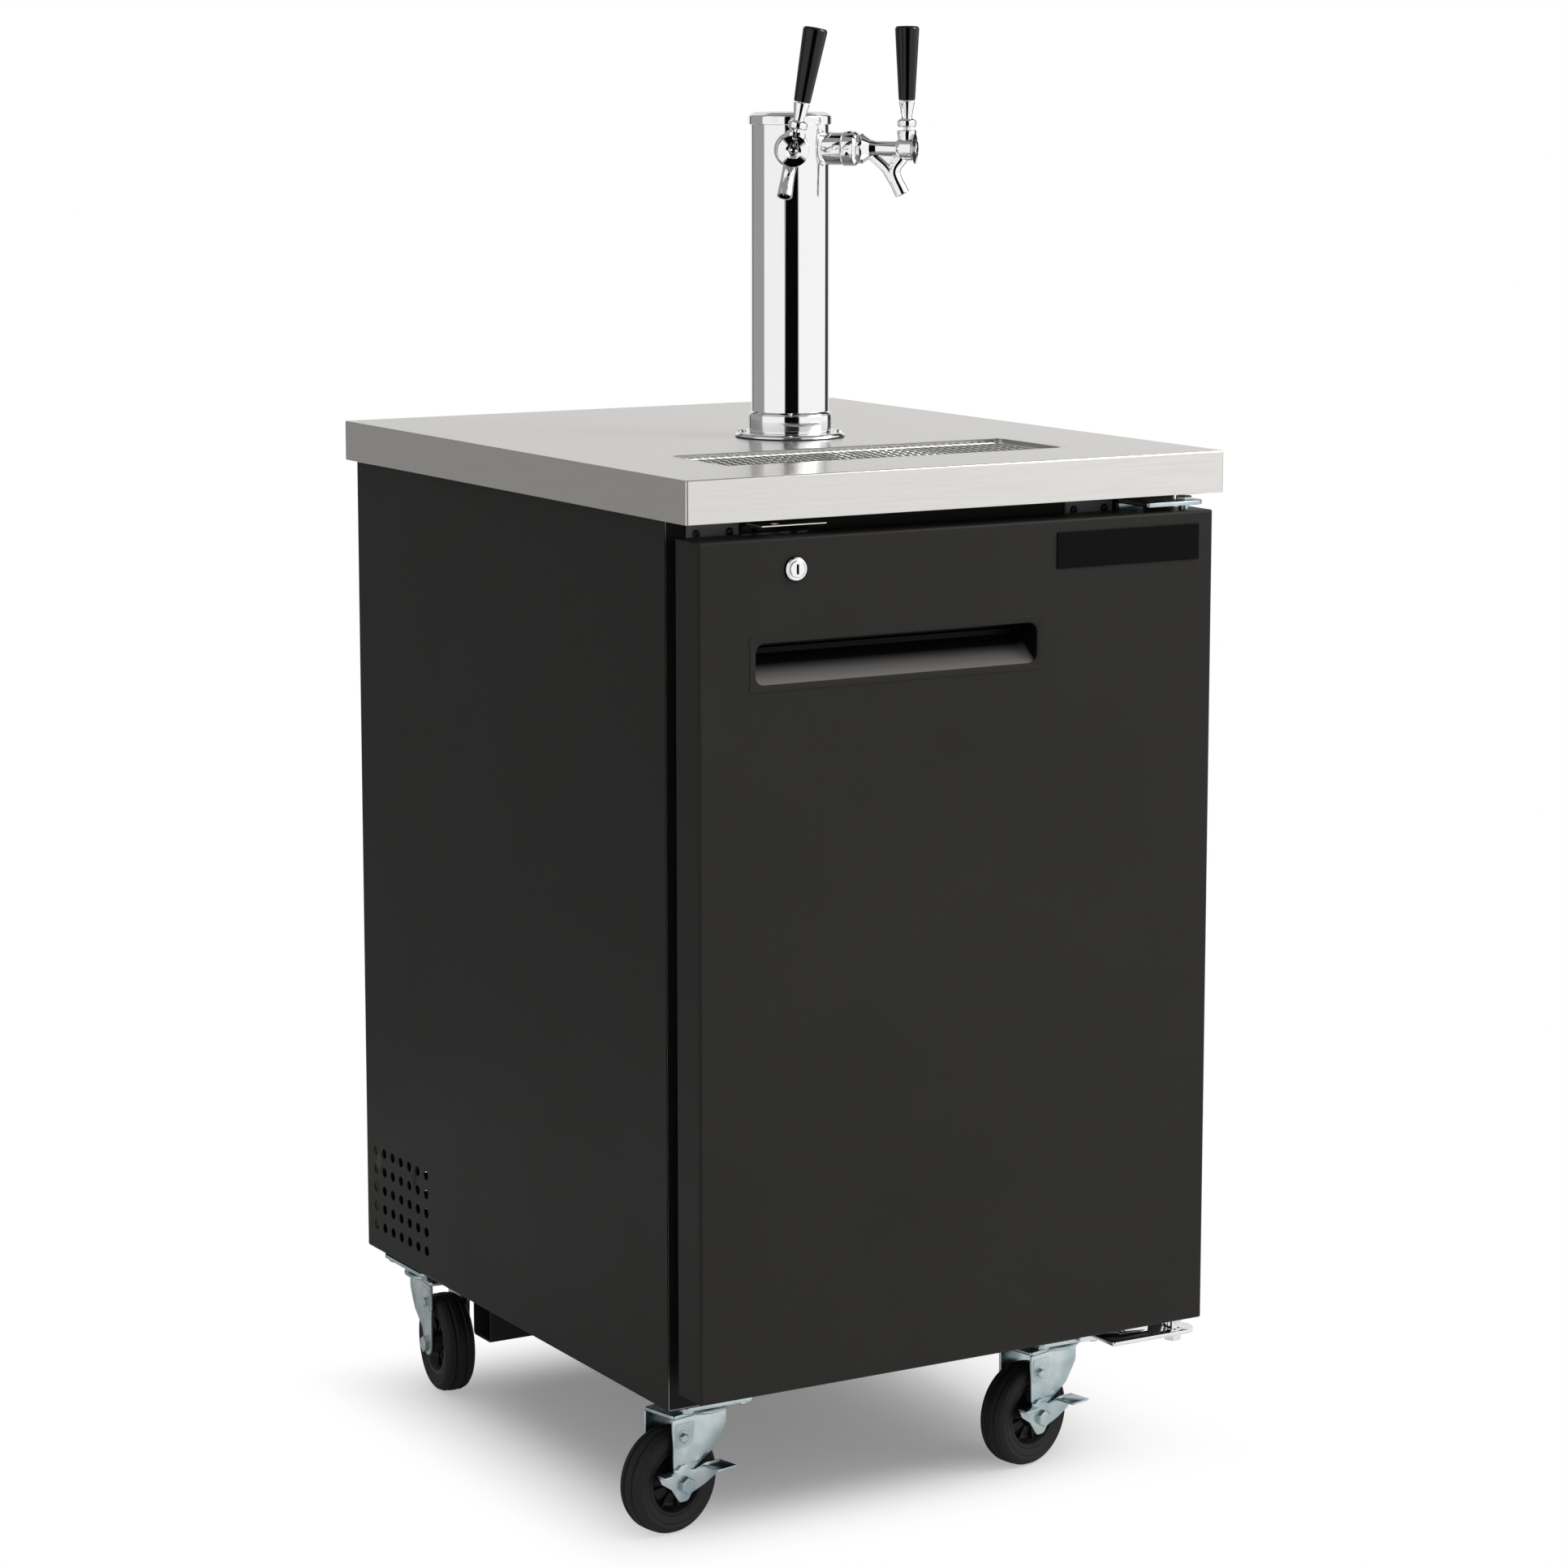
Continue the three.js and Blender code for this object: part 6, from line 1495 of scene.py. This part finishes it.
leg_outline = rounded([
    (-46, crown_under, 0), (-46, wheel_radius - 12, 11.9), (12 - caster_trail, wheel_radius - 12, 11.9),
    (13 - caster_trail, wheel_radius + 12, 16), (6, 78, 18), (20, 98, 12), (20, crown_under, 0)], 6)
panel_outline = rounded([(-44, 86, 3), (-24, 86, 5), (-19, 110, 3), (-44, 110, 3)], 4)


def bolt_head(radius, low, high, sides=6):
    """A bevelled bolt head along Z."""
    return turned_round([(0, low, 0), (radius, low, 0), (radius, high - 1, 0.6), (radius - 1.4, high, 0.5),
                         (0, high, 0)], sides)


def both_halves(half):
    """A turned profile from its half of (radius, reach to one side, rounding)."""
    return [(r, -across, bend) for r, across, bend in half] + half[::-1]


for name, (x, y, turn_to) in casters.items():
    spot = Matrix.Translation((x, y, 0))
    swivel = spot @ Matrix.Rotation(math.radians(turn_to), 4, "Z")
    braked = name.startswith("front")

    top_plate = softened(plate(rectangle(-38, 38, -47, 47, 6), plate_under, caster_height), 0.6)
    race = turned_round([
        (0, plate_under, 0), (24, plate_under, 0), (27, plate_under - 3, 2), (29, plate_under - 3.6, 1),
        (29, plate_under - 7, 1.6), (0, plate_under - 7, 0)])
    plate_bolts = grown(spot_tree, bolt_head(6, 0, 4), {"Material": zinc_plate}, [
        (side * 29, end * 37, 0) for side in (-1, 1) for end in (-1, 1)])
    moved(plate_bolts, Matrix.Translation((0, 0, plate_under)) @ Matrix.Rotation(math.pi, 4, "X"))
    finish_piece("mount_" + name, moved(joined(top_plate, race, plate_bolts), spot), zinc_plate, "cabinet",
                 "zinc", "caster_plate_" + name)

    crown = turned_round([(0, crown_under, 0), (30, crown_under, 2), (33, crown_top - 2.4, 1.4),
                          (32, crown_top, 0.8), (0, crown_top, 0)], 72)
    bridge = softened(plate(rounded([
        (-leg_outer, -46, 4), (leg_outer, -46, 4), (leg_outer, 12, 3), (-leg_outer, 12, 3)]),
        crown_under, crown_top - 0.2), 1.2)
    parts = [crown, bridge]
    for side in (-1, 1):
        leg = sorted((side * leg_inner, side * leg_outer))
        parts.append(softened(plate(leg_outline, *leg, axis="X"), 0.7))
        raised = sorted((side * leg_outer, side * (leg_outer + 0.5)))
        parts.append(plate(panel_outline, *raised, axis="X"))
        side_turn = lying if side > 0 else lying.inverted()
        washer = turned_round([(0, 0, 0), (7, 0, 0), (7, 1, 0.4), (0, 1, 0)], 40)
        upper_bolt = joined(washer, bolt_head(5, 1, 4.4))
        parts.append(moved(upper_bolt, Matrix.Translation((side * leg_outer, -35, 96)) @ side_turn))
        start = 24.8 if side > 0 and braked else leg_outer
        parts.append(moved(bolt_head(8.5, start, start + 5.4), axle @ side_turn))
    parts.append(moved(rod(5, -24, 24.8, 24), axle @ lying))
    finish_piece("bent_fork_" + name, moved(joined(*parts), swivel), zinc_plate, name + "_swivel", "zinc",
                 "caster_fork_" + name)

    wheel_place = swivel @ axle @ lying
    core = turned_round(both_halves([
        (5.5, 17, 0), (10.5, 17, 0.8), (12, 8, 2), (24, 4, 3), (28, 11, 1.5), (30, 13.6, 0.6),
        (33, 13.8, 0.4)]), 96, 3, ring=True)
    ribs = grown(ring_tree, softened(block((10, -0.9, -9), (29, 0.9, 9)), 0.5), {
        "Material": core_plastic, "Count": 8, "Radius": 0, "First angle": 0.2})
    finish_piece("wheel_core_" + name, moved(joined(core, ribs), wheel_place), core_plastic,
                 name + "_wheel", "black_plastic", "caster_hub_" + name)
    tyre = turned_round(both_halves([
        (33.2, 13.6, 0), (39, 15.2, 1), (41, 14.6, 0.6), (44.4, 15.8, 1.6), (48.5, 12.6, 2.6),
        (50.6, 7.4, 0.6), (50, 6.6, 0.2), (48.8, 6, 0.4), (48.8, 4.8, 0.4), (50.2, 4, 0.3),
        (50.8, 3, 0.5)]), 120, 3, ring=True)
    finish_piece("wheel_tread_" + name, moved(tyre, wheel_place), tread, name + "_wheel", "tyre",
                 "caster_tyre_" + name)

    if braked:
        arms = plate(rounded([
            (-33, 15.5, 0), (-29, 6.5, 2), (-17, -1.5, 2), (-12, -9, 3), (-7, -16, 5), (3, -16, 5),
            (8, -9.5, 3), (24, -4.5, 4), (38, 2, 3), (46, 9, 2), (46, 14.5, 0), (26, 16, 4), (14, 12, 3),
            (8, 13, 3), (3, 19, 3), (-5, 19, 3), (-14, 13.4, 3), (-14, 15.5, 0)], 4), 22.2, 24.7, axis="X")
        press = softened(block((22.6, 22, 12), (46, 46, 14.5)), 1, 2)
        rear_wing = softened(block((22.6, -33, 13), (34, -14, 15.5)), 0.8, 2)
        pedal = cut(softened(arms, 0.5), moved(rod(5.3, 20, 30, 32), lying))
        finish_piece("foot_brake_" + name, moved(joined(pedal, press, rear_wing), swivel @ axle), zinc_plate,
                     name + "_brake", "zinc", "brake_pedal_" + name)
